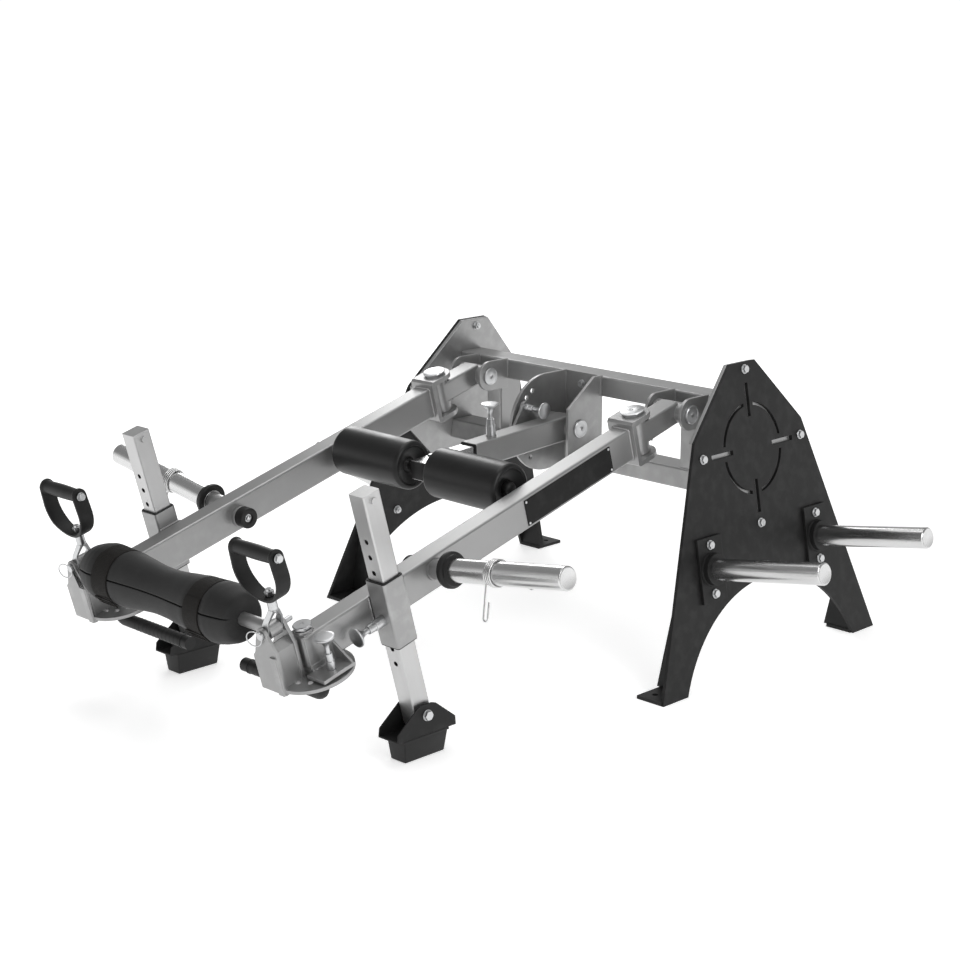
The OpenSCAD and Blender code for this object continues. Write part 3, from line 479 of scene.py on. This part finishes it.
def studio_floor():
    """A pale floor that glows with painted light, dimmer near the machine and brighter away from it, to meet
    the white.
    """
    floor_mesh = bpy.data.meshes.new("floor")
    far = 30
    corners = [(-far, -far, 0), (far, -far, 0), (far, far, 0), (-far, far, 0)]
    floor_mesh.from_pydata(corners, [], [(0, 1, 2, 3)])
    floor = bpy.data.objects.new("floor", floor_mesh)
    paint = Finish("studio_floor", Roughness=0.9)
    cloud = paint.noise(0.8, 2)
    paint.send("Base Color", paint.mix(cloud, grey(0.9), grey(0.92)))
    away = paint.node("ShaderNodeVectorMath", {"operation": "LENGTH"}, {0: paint.place}, output=1)
    # Painted light: the floor glows, and the glow is dimmer near the machine and brighter further out.
    paint.shader.inputs["Emission Strength"].default_value = 1.0
    paint.send("Emission Color", paint.mix(paint.span(away, 1.0, 3.6), grey(0.5), grey(0.86)))
    floor.data.materials.append(paint.material)
    bpy.context.scene.collection.objects.link(floor)


def studio():
    viewpoint()
    surroundings()
    light("overhead", (-0.3, -0.2, 3.2), (0, -0.5, 0.3), (2.6, 2.6), 36)
    light("front_right", (3.2, -1.2, 2.3), (0, -0.5, 0.4), (0.9, 2.6), 38)
    light("left_back", (-3.0, 1.8, 2.2), (0, -0.5, 0.3), (0.9, 2.6), 34)
    studio_floor()


# Fasteners and pins

# Spots on the side plate are (y, z). The plate alone is PLATE_T thick, and BACKED_T with
# its backing plate.
PLATE_T, BACKED_T, MOUNT_T = 8, 18, 8
PLATE_BOLTS = ((5, 683), (-177, 505), (187, 505), (5, 330))
STORE_SPOTS = ((-195, 262), (205, 262))
STORE_BOLTS = tuple((y, z + rise) for y, z in STORE_SPOTS for rise in (-55, 55))
BRACKET_X, BRACKET_Y = -10, -45.5
BRACKET_BOLTS = (592, 406)


def pin_cap(bm, place, radius, height):
    """Turned head of a pin, with a raised rim and a centre mark."""
    profile = [(0, 0), (radius - 1, 0), (radius, 0.9), (radius, height - 1.4), (radius - 1.4, height),
               (0.84 * radius, height), (0.82 * radius, height - 0.7), (0.3 * radius, height - 0.7),
               (0.2 * radius, height - 1.0), (0.1 * radius, height - 2.0), (0, height - 2.1)]
    turned(bm, profile, place, 56)


def shank(bm, radius, low, high, place=None, count=40):
    """Plain round rod between two heights."""
    turned(bm, [(0, low), (radius, low), (radius, high), (0, high)], place, count)


def frame_fasteners():
    bm = bmesh.new()
    for side in SIDES:
        for bolts, out, back in ((PLATE_BOLTS, 0, -BACKED_T), (STORE_BOLTS, MOUNT_T, -PLATE_T)):
            for y, z in bolts:
                at = mirrored(on_plate(y, z), side)
                bolt(bm, at @ shift(0, 0, out), 16, 6, 11)
                bolt(bm, at @ shift(0, 0, back) @ turn("X", 180), 16, 7, 11)
                end = back - 13
                turned(bm, [(0, end), (4, end), (5, end + 1), (5, out), (0, out)], at, 24)
    for z in BRACKET_BOLTS:
        at = shift(BRACKET_X, BRACKET_Y, z) @ turn("X", 90)
        bolt(bm, at, 15, 6, 10.5)
        shank(bm, 5, -7.8, 1, at, 24)
    piece("frame_bolts_dressed", bm, STAY, "zinc", "frame", ["frame_bolts"])


def through_pin(bm, place, radius, low, high, cap_r, cap_t):
    """Pin with a turned cap on both ends, 1 mm over the ends of its shank."""
    shank(bm, radius, low, high, place)
    pin_cap(bm, place @ shift(0, 0, high - 1), cap_r, cap_t)
    pin_cap(bm, place @ shift(0, 0, low + 1) @ turn("X", 180), cap_r, cap_t)


def hinge_pin(side):
    """Thick pin with a hexagon under a domed cap, and a turned cap below."""
    bm = bmesh.new()
    top = shift(0, 0, 55)
    shank(bm, 15, -62, 56)
    pin_cap(bm, shift(0, 0, -55) @ turn("X", 180), 24, 8)
    hexagon(bm, 45, 4.5, top)
    dome = [(0, 4), (25, 4), (27.6, 5), (28, 5.8), (27.4, 7), (24, 8), (5, 8.4), (3.5, 8.2)]
    turned(bm, dome + [(3, 7.4), (0, 7.2)], top, 56)
    place = mirrored(ARM @ shift(ARM_X, -HINGE_S, 0), side)
    pin = "hinge_pin_" + side
    piece("hinge_pin_dressed_" + side, bm, place, "zinc", "arm_" + side, [pin])


def head_pin(side):
    """Pin of a head, with a hexagon under a domed cap."""
    bm = bmesh.new()
    top = shift(0, 0, 46)
    turned(bm, [(0, -58), (11, -58), (12, -57), (12, 47), (0, 47)], None, 40)
    hexagon(bm, 34, 4, top)
    dome = [(0, 3.6), (18.6, 3.6), (20, 4.6), (20, 6.4), (18.4, 7.8), (4, 8), (3, 7), (0, 6.8)]
    turned(bm, dome, top, 48)
    place = mirrored(ARM @ shift(ARM_X, -HEAD_S, 0), side)
    pin = "head_pin_" + side
    piece("head_pin_dressed_" + side, bm, place, "zinc", "arm_" + side, [pin])


def pins():
    bm = bmesh.new()
    for k in SIDES.values():
        through_pin(bm, shift(k * ARM_X, *LIFT_AXLE) @ turn("Y", 90), 12.5, -55, 55, 22, 6)
    piece("lift_pins_dressed", bm, STAY, "zinc", "frame", ["lift_pins"])
    bm = bmesh.new()
    through_pin(bm, shift(0, *ROLLER_AXLE) @ turn("Y", 90), 10, -71, 52, 22, 5)
    piece("roller_axle_dressed", bm, STAY, "zinc", "frame", ["roller_axle_pin"])
    for side in SIDES:
        hinge_pin(side)
        head_pin(side)


def pull_pin(name, place, body, node, nose_r, boss_r, nose_l, boss_h, neck, knob_r):
    """Spring pull-pin: nose, stepped barrel, neck and trumpet knob."""
    bm = bmesh.new()
    top = nose_l + boss_h
    step = nose_l + boss_h * 0.62
    under = top + neck
    knob = under + 12
    slim_r = boss_r * 0.84
    profile = [(0, 0), (nose_r - 1.2, 0), (nose_r, 1.4), (nose_r, nose_l)]
    profile += [(boss_r - 1, nose_l), (boss_r, nose_l + 1), (boss_r, step - 0.8), (boss_r - 0.8, step)]
    profile += [(slim_r, step), (slim_r, top - 0.8)]
    profile += [(boss_r * 0.76, top), (boss_r * 0.52, top), (boss_r * 0.5, top + neck * 0.45)]
    profile += [(boss_r * 0.56, top + neck * 0.6), (boss_r * 0.8, under - 3), (knob_r * 0.62, under + 2)]
    profile += [(knob_r * 0.84, under + 5.4), (knob_r * 0.97, under + 8), (knob_r, under + 9.2)]
    profile += [(knob_r * 0.985, knob - 1.2), (knob_r * 0.93, knob - 0.3)]
    profile += [(knob_r * 0.8, knob), (0, knob + 0.6)]
    turned(bm, profile, None, 56)
    piece(name, bm, place, "zinc", body, [node])


LEG_PIN_H = -9
INDEX_RING_R = 52
INDEX_ANGLE = math.radians(8)
INDEX_SEAT_H = -49.7
LENGTH_PIN_S = 252


def pull_pins():
    index_x = ARM_X + INDEX_RING_R * math.cos(INDEX_ANGLE)
    index_y = -HEAD_S + INDEX_RING_R * math.sin(INDEX_ANGLE)
    for side in SIDES:
        leg_pin = "leg_pin_" + side
        place = mirrored(ARM @ shift(LEG_X, -LEG_S - 22.8, LEG_PIN_H) @ turn("X", 90), side)
        pull_pin("leg_pin_dressed_" + side, place, leg_pin, leg_pin, 5, 11.5, 1.2, 46, 22, 21.5)
        index_pin = "index_pin_" + side
        place = mirrored(ARM @ shift(index_x, index_y, INDEX_SEAT_H), side)
        pull_pin("index_pin_dressed_" + side, place, index_pin, index_pin, 5.5, 9.5, 2.5, 44, 26, 21.5)
    place = ROLLER @ turn("X", -34.5) @ shift(-61.7, -97, 0) @ turn("Y", 90)
    pull_pin("roller_pull_dressed", place, "roller_pull", "roller_pull", 5.5, 10, 3, 34, 26, 20.5)
    place = ROLLER @ shift(0, -LENGTH_PIN_S, 25.7)
    pull_pin("length_pull_dressed", place, "length_pull", "length_pull", 5, 11.5, 6.6, 40, 25, 21.5)


# Weight horns, collars, stops and clips

HORN_END, STORE_END = 390, 315
COLLAR_START = 45.3
COLLAR = ((25.05, 0), (37.5, 0), (38.5, 1), (38.5, 8), (37.6, 9.4), (35, 12), (33.4, 13.2), (33, 14),
          (33, 18), (32, 19), (25.05, 19), (25.05, 0))


def end_plug(bm, at, place):
    """Turned insert in the open end of a horn."""
    profile = [(0, 0), (21.5, 0), (22, 0.4), (21.6, 0.9), (20.6, 1), (19.6, 0.6), (0, 0.6)]
    turned(bm, [(r, at + z) for r, z in profile], place, 64)


def bump_stop(side):
    """Hollow rubber stop on a steel seat, with the bolt that holds it."""
    place = mirrored(ARM @ shift(ARM_X - 25, -HORN_S, -4.4) @ turn("Y", -90), side)
    arm = "arm_" + side
    bm = bmesh.new()
    turned(bm, [(0, 0), (24, 0), (24.5, 0.6), (24.5, 7.6), (23.6, 8.6), (0, 8.6)], None, 56)
    piece("stop_seat_" + side, bm, place, "silver_steel", arm)
    bm = bmesh.new()
    turned(bm, [(0, 8.6), (22.6, 8.6), (23.8, 9.8), (24, 11), (24, 31), (23.3, 33.2), (21.6, 34), (12.4, 34),
                (11.3, 33.4), (10.8, 32), (10, 28), (0, 28)], None, 64)
    piece("stop_" + side, bm, place, "rubber", arm, ["bump_stop_" + side])
    bm = bmesh.new()
    washer(bm, 9.5, 2, 1.4, place @ shift(0, 0, 28))
    turned(bm, [(0, 29.2), (6.2, 29.2), (6.2, 30.6), (5.4, 32.4), (3.4, 33.6), (0, 34)], place, 32)
    piece("stop_bolt_" + side, bm, STAY, "zinc", arm)


def horns():
    for side in SIDES:
        place = mirrored(HORN, side)
        bm = bmesh.new()
        turned(bm, COLLAR, shift(0, 0, COLLAR_START), 72)
        piece("collar_" + side, bm, place, "rubber", "arm_" + side, ["horn_collar_" + side])
        bm = bmesh.new()
        end_plug(bm, HORN_END, STAY)
        piece("horn_plug_" + side, bm, place, "chrome", "arm_" + side)
        bump_stop(side)
    bm = bmesh.new()
    for side in SIDES:
        for y, z in STORE_SPOTS:
            end_plug(bm, STORE_END, mirrored(on_plate(y, z), side))
    piece("storage_plugs", bm, STAY, "chrome", "frame")


def clip_line():
    """The wire of a spring clip, about the middle of its turns: hairpin, turns, hairpin."""
    turn_r, half = 27.4, 10
    low, high = -68, 60 - 4 * 360
    count = 192
    width = 13

    def on_turn(a):
        return Vector((turn_r * math.cos(math.radians(a)), turn_r * math.sin(math.radians(a)), 0))

    def hairpin(p, way, z0, z1):
        way = Vector(way)
        out = [p + t * way + Vector((0, 0, z0)) for t in (9, 25, 40, 55)]
        tip = []
        for b in range(0, 181, 15):
            height = (z0 + z1) / 2 - (z1 - z0) / 2 * math.cos(math.radians(b))
            tip.append(p + (68 + 7 * math.sin(math.radians(b))) * way + Vector((0, 0, height)))
        return out + tip + [p + t * way + Vector((0, 0, z1)) for t in (58, 47, 36)]

    turns = []
    for i in range(count + 1):
        turns.append(on_turn(low + (high - low) * i / count) + Vector((0, 0, half * (2 * i / count - 1))))
    first = hairpin(on_turn(low), (0.86, -0.51, 0), -half, -half + width)
    last = hairpin(on_turn(high), (0.78, 0.62, 0), half, half - width)
    return list(reversed(first)) + turns + last


def clips():
    on_horn, wire_r = 187, 2
    for side in SIDES:
        bm = bmesh.new()
        swept(bm, clip_line(), wire_r, 14)
        place = mirrored(HORN @ shift(0, 0, on_horn), side)
        clip = "clip_" + side
        piece("clip_wire_" + side, bm, place, "chrome", clip, [clip])


# Handles and grips

GRIP_R = 14.5
LOW_GRIP_H = -101


def strap_grip(side):
    """Grip of a D strap, with a bolt at each end."""
    place = copied(ARM @ shift(326, -BAR_S - 6, 247) @ turn("Y", 90), side)
    bm = bmesh.new()
    flange = [(0, -60.3), (15, -60.3), (16.6, -59.6), (16.8, -58), (16.2, -56.6), (14.6, -55.4)]
    sleeve = [(GRIP_R + 0.5 * math.cos(math.pi * t / 26), t * 2.1) for t in range(-25, 26)]
    turned(bm, flange + sleeve + [(r, -z) for r, z in reversed(flange)], None, 56)
    piece("grip_" + side, bm, place, "rubber", "dee_" + side, ["dee_grip_" + side])
    bm = bmesh.new()
    for over in (0, 180):
        bolt(bm, turn("X", over) @ shift(0, 0, 66.4), 14.5, 5.5, 9.4)
        shank(bm, 5, 60, 67, turn("X", over), 24)
    piece("grip_bolts_" + side, bm, place, "zinc", "dee_" + side)


def low_grip(side):
    """Ribbed grip on an elbow under the head."""
    bm = bmesh.new()
    bend = 17
    line = [(0, 0, -58.6), (0, 0, -66)]
    line += arc((-bend, 0, LOW_GRIP_H + bend), bend, 0, -90, 12, (1, 0, 0), (0, 0, 1))
    line += [(-bend - t, 0, LOW_GRIP_H) for t in (6, 30, 90, 150, 190, 232)]
    swept(bm, line, GRIP_R, 40)
    washer(bm, 15.6, 1, 5, shift(-230, 0, LOW_GRIP_H) @ turn("Y", 90))
    cap = [(0, 0), (12.6, 0), (12.6, 1.4), (11.4, 2.6), (0, 3)]
    turned(bm, cap, shift(-234.9, 0, LOW_GRIP_H) @ turn("Y", -90), 40)
    for i in range(12):
        washer(bm, 14.9, 3, 2.6, shift(-222 + 14 * i, 0, LOW_GRIP_H) @ turn("Y", 90))
    place = mirrored(ARM @ shift(ARM_X + 18, -HEAD_S - 4, 0), side)
    piece("low_handle_" + side, bm, place, "rubber", "head_" + side, ["low_grip_" + side])


def hitch_pin(side):
    """Pin with a flange and a wire ring through its end."""
    bm = bmesh.new()
    rod = [(0, -10), (4.6, -10), (5.8, -8.6), (5.8, 62), (0, 62)]
    turned(bm, rod, shift(0, -BAR_S + 40, 0) @ turn("X", 90), 32)
    flange = [(0, 0.3), (8.4, 0.3), (9, 0.9), (9, 5.6), (8.2, 6.4), (0, 6.6)]
    turned(bm, flange, shift(0, -1234, 0) @ turn("X", 90), 40)
    ring_r, wire_r = 16.5, 1.25
    ring = arc((0, 0, 0), ring_r, 0, 360, 72, (1, 0, 0), (0, 1, 0))
    swept(bm, ring, wire_r, 12, shift(-15, -1242.5, -7) @ turn("X", 90) @ turn("Y", 20), caps=False)
    place = copied(ARM @ shift(HITCH_X, 0, HITCH_H), side)
    piece("hitch_pin_dressed_" + side, bm, place, "zinc", "hitch_" + side, ["hitch_pin_" + side])


def grips():
    for side in SIDES:
        strap_grip(side)
        low_grip(side)
        hitch_pin(side)


# Feet, bushes, panels and welds

FOOT_H = -240


def foot(side):
    """Rubber block that narrows to its sole, in the foot's own upright frame."""
    at = ARM @ shift(LEG_X + 3.5, -LEG_S, FOOT_H) @ Matrix.Rotation(-ARM_TILT, 4, "X")
    floor_z = -(LIFT_AXLE[1] - LEG_S * math.sin(ARM_TILT) + FOOT_H * math.cos(ARM_TILT))
    place = mirrored(at, side)
    bm = bmesh.new()
    made = rounded_box(bm, (-28, -61, floor_z), (28, 61, -43), 0)
    for v in made:
        if v.co.z < floor_z + 1:
            v.co.x *= 22 / 28
            v.co.y *= 55 / 61
    bmesh.ops.bevel(bm, geom=list(bm.edges), offset=3, segments=3, profile=0.5, affect="EDGES")
    rounded_box(bm, (-29, -63, -48), (29, 63, -42.4), 1.5)
    for i in range(-3, 4):
        rounded_box(bm, (-20, i * 14 - 2.5, floor_z), (20, i * 14 + 2.5, floor_z + 2), 0.8)
    piece("foot_rubber_" + side, bm, place, "rubber", "foot_" + side, ["foot_block_" + side])
    bm = bmesh.new()
    bolt(bm, shift(29.5, 0, 0) @ turn("Y", 90), 18.4, 6.6, 12)
    bolt(bm, shift(-29.5, 0, 0) @ turn("Y", -90), 18.4, 5.6, 12)
    piece("foot_bolts_" + side, bm, place, "zinc", "foot_" + side)


def leg_bushes(side):
    """Square bushes at the two ends of a leg's sleeve."""
    bm = bmesh.new()
    for z in (76, -72):
        square_ring(bm, 23, 27.6, 4, z, 2)
    place = mirrored(ARM @ shift(LEG_X, -LEG_S, 0), side)
    piece("leg_bushes_" + side, bm, place, "rubber", "arm_" + side)


def slide_ends():
    """Bush where the roller slide enters its tube, and the plug in its far end."""
    bm = bmesh.new()
    oblong_ring(bm, (20.9, 25.9), (24.6, 29.6), 325, 3)
    piece("tube_bush", bm, ROLLER, "rubber", "roller_arm")
    bm = bmesh.new()
    rounded_box(bm, (-23.5, -489.4, -20.5), (23.5, -486.8, 20.5), 1)
    piece("slide_plug", bm, ROLLER, "rubber", "roller_slide")


def corner_ring(half_x, half_y, radius):
    """Points round a rectangle with rounded corners."""
    steps = 5
    points = []
    for k, (sx, sy) in enumerate(((1, 1), (-1, 1), (-1, -1), (1, -1))):
        for i in range(steps + 1):
            a = math.radians(90 * k + 90 * i / steps)
            x = sx * (half_x - radius) + radius * math.cos(a)
            y = sy * (half_y - radius) + radius * math.sin(a)
            points.append((x, y))
    return points


def square_ring(bm, inner, outer, radius, z, thick):
    """A flat square bush from z up, its outer top edge broken."""
    o = corner_ring(outer, outer, radius + 2)
    p = corner_ring(outer - 0.6, outer - 0.6, radius + 1.4)
    i = corner_ring(inner, inner, 2)
    steps = ((i, z), (o, z), (o, z + thick - 0.6), (p, z + thick), (i, z + thick), (i, z))
    rings_to(bm, [[(x, y, h) for x, y in line] for line, h in steps], caps=False)


def oblong_ring(bm, inner, outer, s, thick):
    """An oblong bush on a tube's end, from s outward along the tube."""
    o = corner_ring(*outer, 5)
    i = corner_ring(*inner, 1.5)
    steps = ((i, s), (o, s), (o, s + thick), (i, s + thick), (i, s))
    rings_to(bm, [[(x, -at, z) for x, z in line] for line, at in steps], caps=False)


def panels():
    for side in SIDES:
        arm = "arm_" + side
        bm = bmesh.new()
        rounded_box(bm, (349.05, -535, -30), (351.05, -252, 30), 0.5)
        place = mirrored(ARM, side)
        piece("panel_" + side, bm, place, "black_sheet", arm, ["arm_panel_" + side])
        bm = bmesh.new()
        rivet = [(0, 0), (3.2, 0), (3.1, 0.6), (2.2, 1.4), (0, 1.8)]
        for s in (257, 530):
            for h in (-25, 25):
                turned(bm, rivet, ARM @ shift(351, -s, h) @ turn("Y", 90), 20)
        piece("panel_rivets_" + side, bm, mirrored(STAY, side), "zinc", arm)


def circle(radius):
    count = 60
    angles = (math.tau * i / count for i in range(count))
    return [(radius * math.cos(a), radius * math.sin(a), 0) for a in angles]


def side_welds(side):
    """Beads on one arm, its stub link and its head."""
    at = ARM @ shift(ARM_X, 0, 0)
    face, top = ARM_W / 2, ARM_D / 2
    bm = bmesh.new()
    weld(bm, [(x, -181, z) for x, z in corner_ring(face + 0.4, top + 0.4, 6)], 2.4, at, closed=True)
    for s in (LEG_S - 30, LEG_S + 30):
        weld(bm, [(face + 0.6, -s, -36), (face + 0.6, -s, 36)], 2.4, at)
    for z in (top + 0.3, -top - 0.3):
        weld(bm, [(face - 0.5, -LEG_S + 26, z), (face - 0.5, -LEG_S - 26, z)], 2.2, at)
    weld(bm, circle(22.6), 2.4, HORN @ shift(0, 0, 1.0), closed=True)
    for x in (-20, 20):
        weld(bm, [(x, -HEAD_S + 2, top + 0.4), (x, -HEAD_S - 18, top + 0.4)], 1.6, at)
    weld(bm, [(face + 0.6, -HEAD_S + 45, -38), (face + 0.6, -HEAD_S - 15, -38)], 2.2, at)
    piece("arm_welds_" + side, bm, mirrored(STAY, side), "silver_steel", "arm_" + side)
    bm = bmesh.new()
    for z in (31.4, -20.4):
        weld(bm, [(-23, -108, z), (23, -108, z)], 2.0, at)
        weld(bm, [(-23, -23.5, z * 0.35), (23, -23.5, z * 0.35)], 1.6, at)
    piece("link_welds_" + side, bm, mirrored(STAY, side), "silver_steel", "link_" + side)
    bm = bmesh.new()
    for s in (1186.5, 1225.5):
        weld(bm, [(-61, -s, -50.4), (4, -s, -50.4)], 1.8)
    for x in (-10.4, 7.4):
        weld(bm, [(x, -1234.6, -50), (x, -1234.6, 20.5)], 1.7)
    piece("head_welds_" + side, bm, copied(at, side), "silver_steel", "head_" + side)


def frame_welds():
    """Beads on the welded inner frame, and round the storage horns' mounts."""
    lower_top, upper_under = 431.4, 566.6
    bm = bmesh.new()
    for side in SIDES:
        at = mirrored(STAY, side)
        for x in (ARM_X - 54, ARM_X - 46, ARM_X + 46, ARM_X + 54):
            weld(bm, [(x, -38.2, 569), (x, -38.2, 616)], 2.2, at)
        for x in (295.5, 342.5):
            for z in (lower_top, upper_under):
                weld(bm, [(x, -34, z), (x, 34, z)], 2.0, at)
        for z in (lower_top, upper_under):
            weld(bm, [(298, -37.2, z), (342, -37.2, z)], 2.0, at)
    for x in (-62, 43, -70, 51):
        for low, high in ((384, 430), (570, 616)):
            weld(bm, [(x, -46.2, low), (x, -46.2, high)], 1.8)
    piece("frame_welds", bm, STAY, "silver_steel", "frame")
    bm = bmesh.new()
    for side in SIDES:
        for y, z in STORE_SPOTS:
            at = on_plate(y, z) @ shift(0, 0, MOUNT_T + 0.4)
            weld(bm, circle(36.4), 2.6, mirrored(at, side), closed=True)
    piece("mount_welds", bm, STAY, "black_steel", "frame")


# Foam pad, straps and rollers

PAD_X, PAD_LEN, PAD_R, WAIST_R, BAR_R = -36, 501, 63.4, 50, 14
STRAPS = (PAD_X + 1 - 157, PAD_X + 1 + 157)
STRAP_HALF = 25
# The pad's rounded ends, as shares of PAD_R and how far in from the end they are reached
TAPER = ((0.7, 0), (0.77, 3), (0.83, 10), (0.95, 34), (0.99, 48))
BUCKLE_BARS = (
    ((-0.5, -13, -28), (2.5, 13, -25.4)),
    ((-0.5, -13, 25.4), (2.5, 13, 28)),
    ((-0.5, -13, -28), (2.5, -10, 28)),
    ((-0.5, 10, -28), (2.5, 13, 28)),
    ((0.6, -1.4, -26), (2.8, 1.4, 26)),
)
PAD_PLACE = ARM @ shift(PAD_X, -BAR_S, HITCH_H) @ turn("Y", 90)


def pad_radius(x):
    """Radius of the foam at x from the pad's middle, straps not counted."""
    half = PAD_LEN / 2
    u = x / PAD_LEN + 0.5
    crown = PAD_R - (PAD_R - WAIST_R) * (0.5 - 0.5 * math.cos(math.tau * u)) ** 2.2
    from_end = half - abs(x)
    if from_end < TAPER[-1][1]:
        for (k0, e0), (k1, e1) in zip(TAPER, TAPER[1:]):
            if from_end <= e1:
                t = (from_end - e0) / (e1 - e0)
                return min(crown, PAD_R * (k0 + (k1 - k0) * t))
    return crown


def pinch(x):
    """How far the straps draw the foam in, with a swell beside them."""
    drawn = 0
    for at in STRAPS:
        d = abs(x + PAD_X - at)
        drawn += 1.6 / (1 + math.exp((d - STRAP_HALF - 1) / 2.0))
        drawn -= 0.5 * math.exp(-((d - STRAP_HALF - 11) / 8) ** 2)
    return drawn


def slit_depth(off):
    """Depth of the pad's slit at an angle off its middle, in degrees."""
    for limit, depth in ((1.2, 9), (1.6, 0.6), (2.4, 0.15)):
        if off < limit:
            return depth
    return 0


def foam_pad():
    """Foam sleeve round the hip bar, with its lengthwise slit drawn in fine steps."""
    slit = 245
    angles = sorted({a for a in range(0, 360, 4) if abs(a - slit) > 3.8}
                    | {slit + d for d in (-3.4, -2.2, -1.5, -1.1, 1.1, 1.5, 2.2, 3.4)})
    ways = [(math.cos(math.radians(a)), math.sin(math.radians(a)), abs(a - slit)) for a in angles]
    half = PAD_LEN / 2
    steps = 130
    rings = []
    for i in range(steps + 1):
        x = -half + PAD_LEN * i / steps
        ring = []
        for c, s, off in ways:
            wave = 0.35 * noise.noise(Vector((x * 0.02, c, s)) * 1.6)
            r = pad_radius(x) - pinch(x) - slit_depth(off) + wave
            ring.append((r * c, r * s, x))
        rings.append(ring)
    bore_r = BAR_R + 0.4
    bore_rings = [[(bore_r * c, bore_r * s, x) for c, s, off in ways] for x in (-half, half)]
    bm = bmesh.new()
    loops = rings_to(bm, rings, caps=False)
    bores = rings_to(bm, bore_rings, caps=False)
    count = len(ways)
    for outer, bore, flip in ((loops[0], bores[0], False), (loops[-1], bores[1], True)):
        for i in range(count):
            j = (i + 1) % count
            corners = (outer[i], outer[j], bore[j], bore[i])
            bm.faces.new(corners if flip else tuple(reversed(corners)))
    pad = piece("hip_pad_foam", bm, PAD_PLACE, "foam", "pad", ["hip_pad"], smooth=50)


def strap_band(bm, mid, lift, start, end):
    """Length of webbing round the pad at mid, from one angle to another."""
    brim = STRAP_HALF - 0.6
    half_t = 0.9
    steps = 120
    shape = []
    for t in (-STRAP_HALF, -brim, -16, -8, 0, 8, 16, brim, STRAP_HALF):
        swell = 0 if abs(t) == STRAP_HALF else 0.3
        shape.append((t, pad_radius(mid + t) - pinch(mid + t) + lift + swell))
    section = [(t, r - half_t) for t, r in shape] + [(t, r + half_t) for t, r in reversed(shape)]
    band = []
    for i in range(steps + 1):
        a = math.radians(start + (end - start) * i / steps)
        band.append([(r * math.cos(a), r * math.sin(a), mid + t) for t, r in section])
    rings_to(bm, band, caps=end - start < 360)


def pad_straps():
    bm = bmesh.new()
    for k, x in enumerate(STRAPS):
        mid = x - PAD_X
        strap_band(bm, mid, 0.2, 0, 360)
        strap_band(bm, mid, 1.9, 196 + 24 * k, 282 + 24 * k)
        on_pad = pad_radius(mid) - pinch(mid) + 2.2
        buckle = turn("Z", 300) @ shift(on_pad, 0, mid)
        for low, high in BUCKLE_BARS:
            rounded_box(bm, low, high, 0.6, buckle)
    piece("pad_webbing", bm, PAD_PLACE, "webbing", "pad", ["pad_straps"], smooth=50)


ROLLER_S = 463
ROLLER_LEN, ROLLER_R, ROLLER_START = 226, 57, 42
AXLE_END, AXLE_COLLAR = 254, 25.2


def rollers():
    """Foam rollers with sunken ends and a slight belly, and the caps of their axle."""
    end = [(12.05, 15), (17, 15), (18.5, 13.5), (24, 10.8), (34, 6.8), (42.5, 3.9), (44.2, 3.6), (44.9, 4.4),
           (45.6, 3.2), (46.4, 1.2), (47.6, 0.3)]
    edge_r, belly, steps = 10, 0.7, 24
    inset = ROLLER_R - edge_r
    turns = (math.radians(a) for a in range(10, 91, 10))
    half = end + [(inset + edge_r * math.sin(a), edge_r - edge_r * math.cos(a)) for a in turns]
    straight = ROLLER_LEN - 2 * edge_r
    wall = []
    for t in range(1, steps):
        wall.append((ROLLER_R + belly * math.sin(math.pi * t / steps), edge_r + straight * t / steps))
    profile = half + wall + [(r, ROLLER_LEN - z) for r, z in reversed(half)] + [end[0]]
    for side, start in (("right", ROLLER_START), ("left", -ROLLER_START - ROLLER_LEN)):
        bm = bmesh.new()
        turned(bm, profile, None, 96)
        place = ROLLER @ shift(start, -ROLLER_S, 0) @ turn("Y", 90)
        roller = "roller_" + side
        cover = piece("roller_cover_" + side, bm, place, "roller_foam", roller, [roller])
    bm = bmesh.new()
    for k in (-1, 1):
        outer = shift(k * AXLE_END, -ROLLER_S, 0) @ turn("Y", 90 * k)
        cap = [(0, 0), (12.3, 0), (15.4, 0), (16, 0.8), (16, 11), (14.4, 14.6), (9, 17.6), (0, 18.4)]
        turned(bm, cap, outer, 48)
        inner = shift(k * AXLE_COLLAR, -ROLLER_S, 0) @ turn("Y", 90 * k)
        washer(bm, 19, 11.8, 3, inner)
        turned(bm, [(11.8, 3), (15, 3), (15, 12), (14, 13), (11.8, 13)], inner, 40)
    piece("axle_caps", bm, ROLLER, "rubber", "roller_slide")


frame_fasteners()
pins()
pull_pins()
horns()
clips()
grips()
for each in SIDES:
    foot(each)
    leg_bushes(each)
slide_ends()
panels()
for each in SIDES:
    side_welds(each)
frame_welds()
foam_pad()
pad_straps()
rollers()
studio()
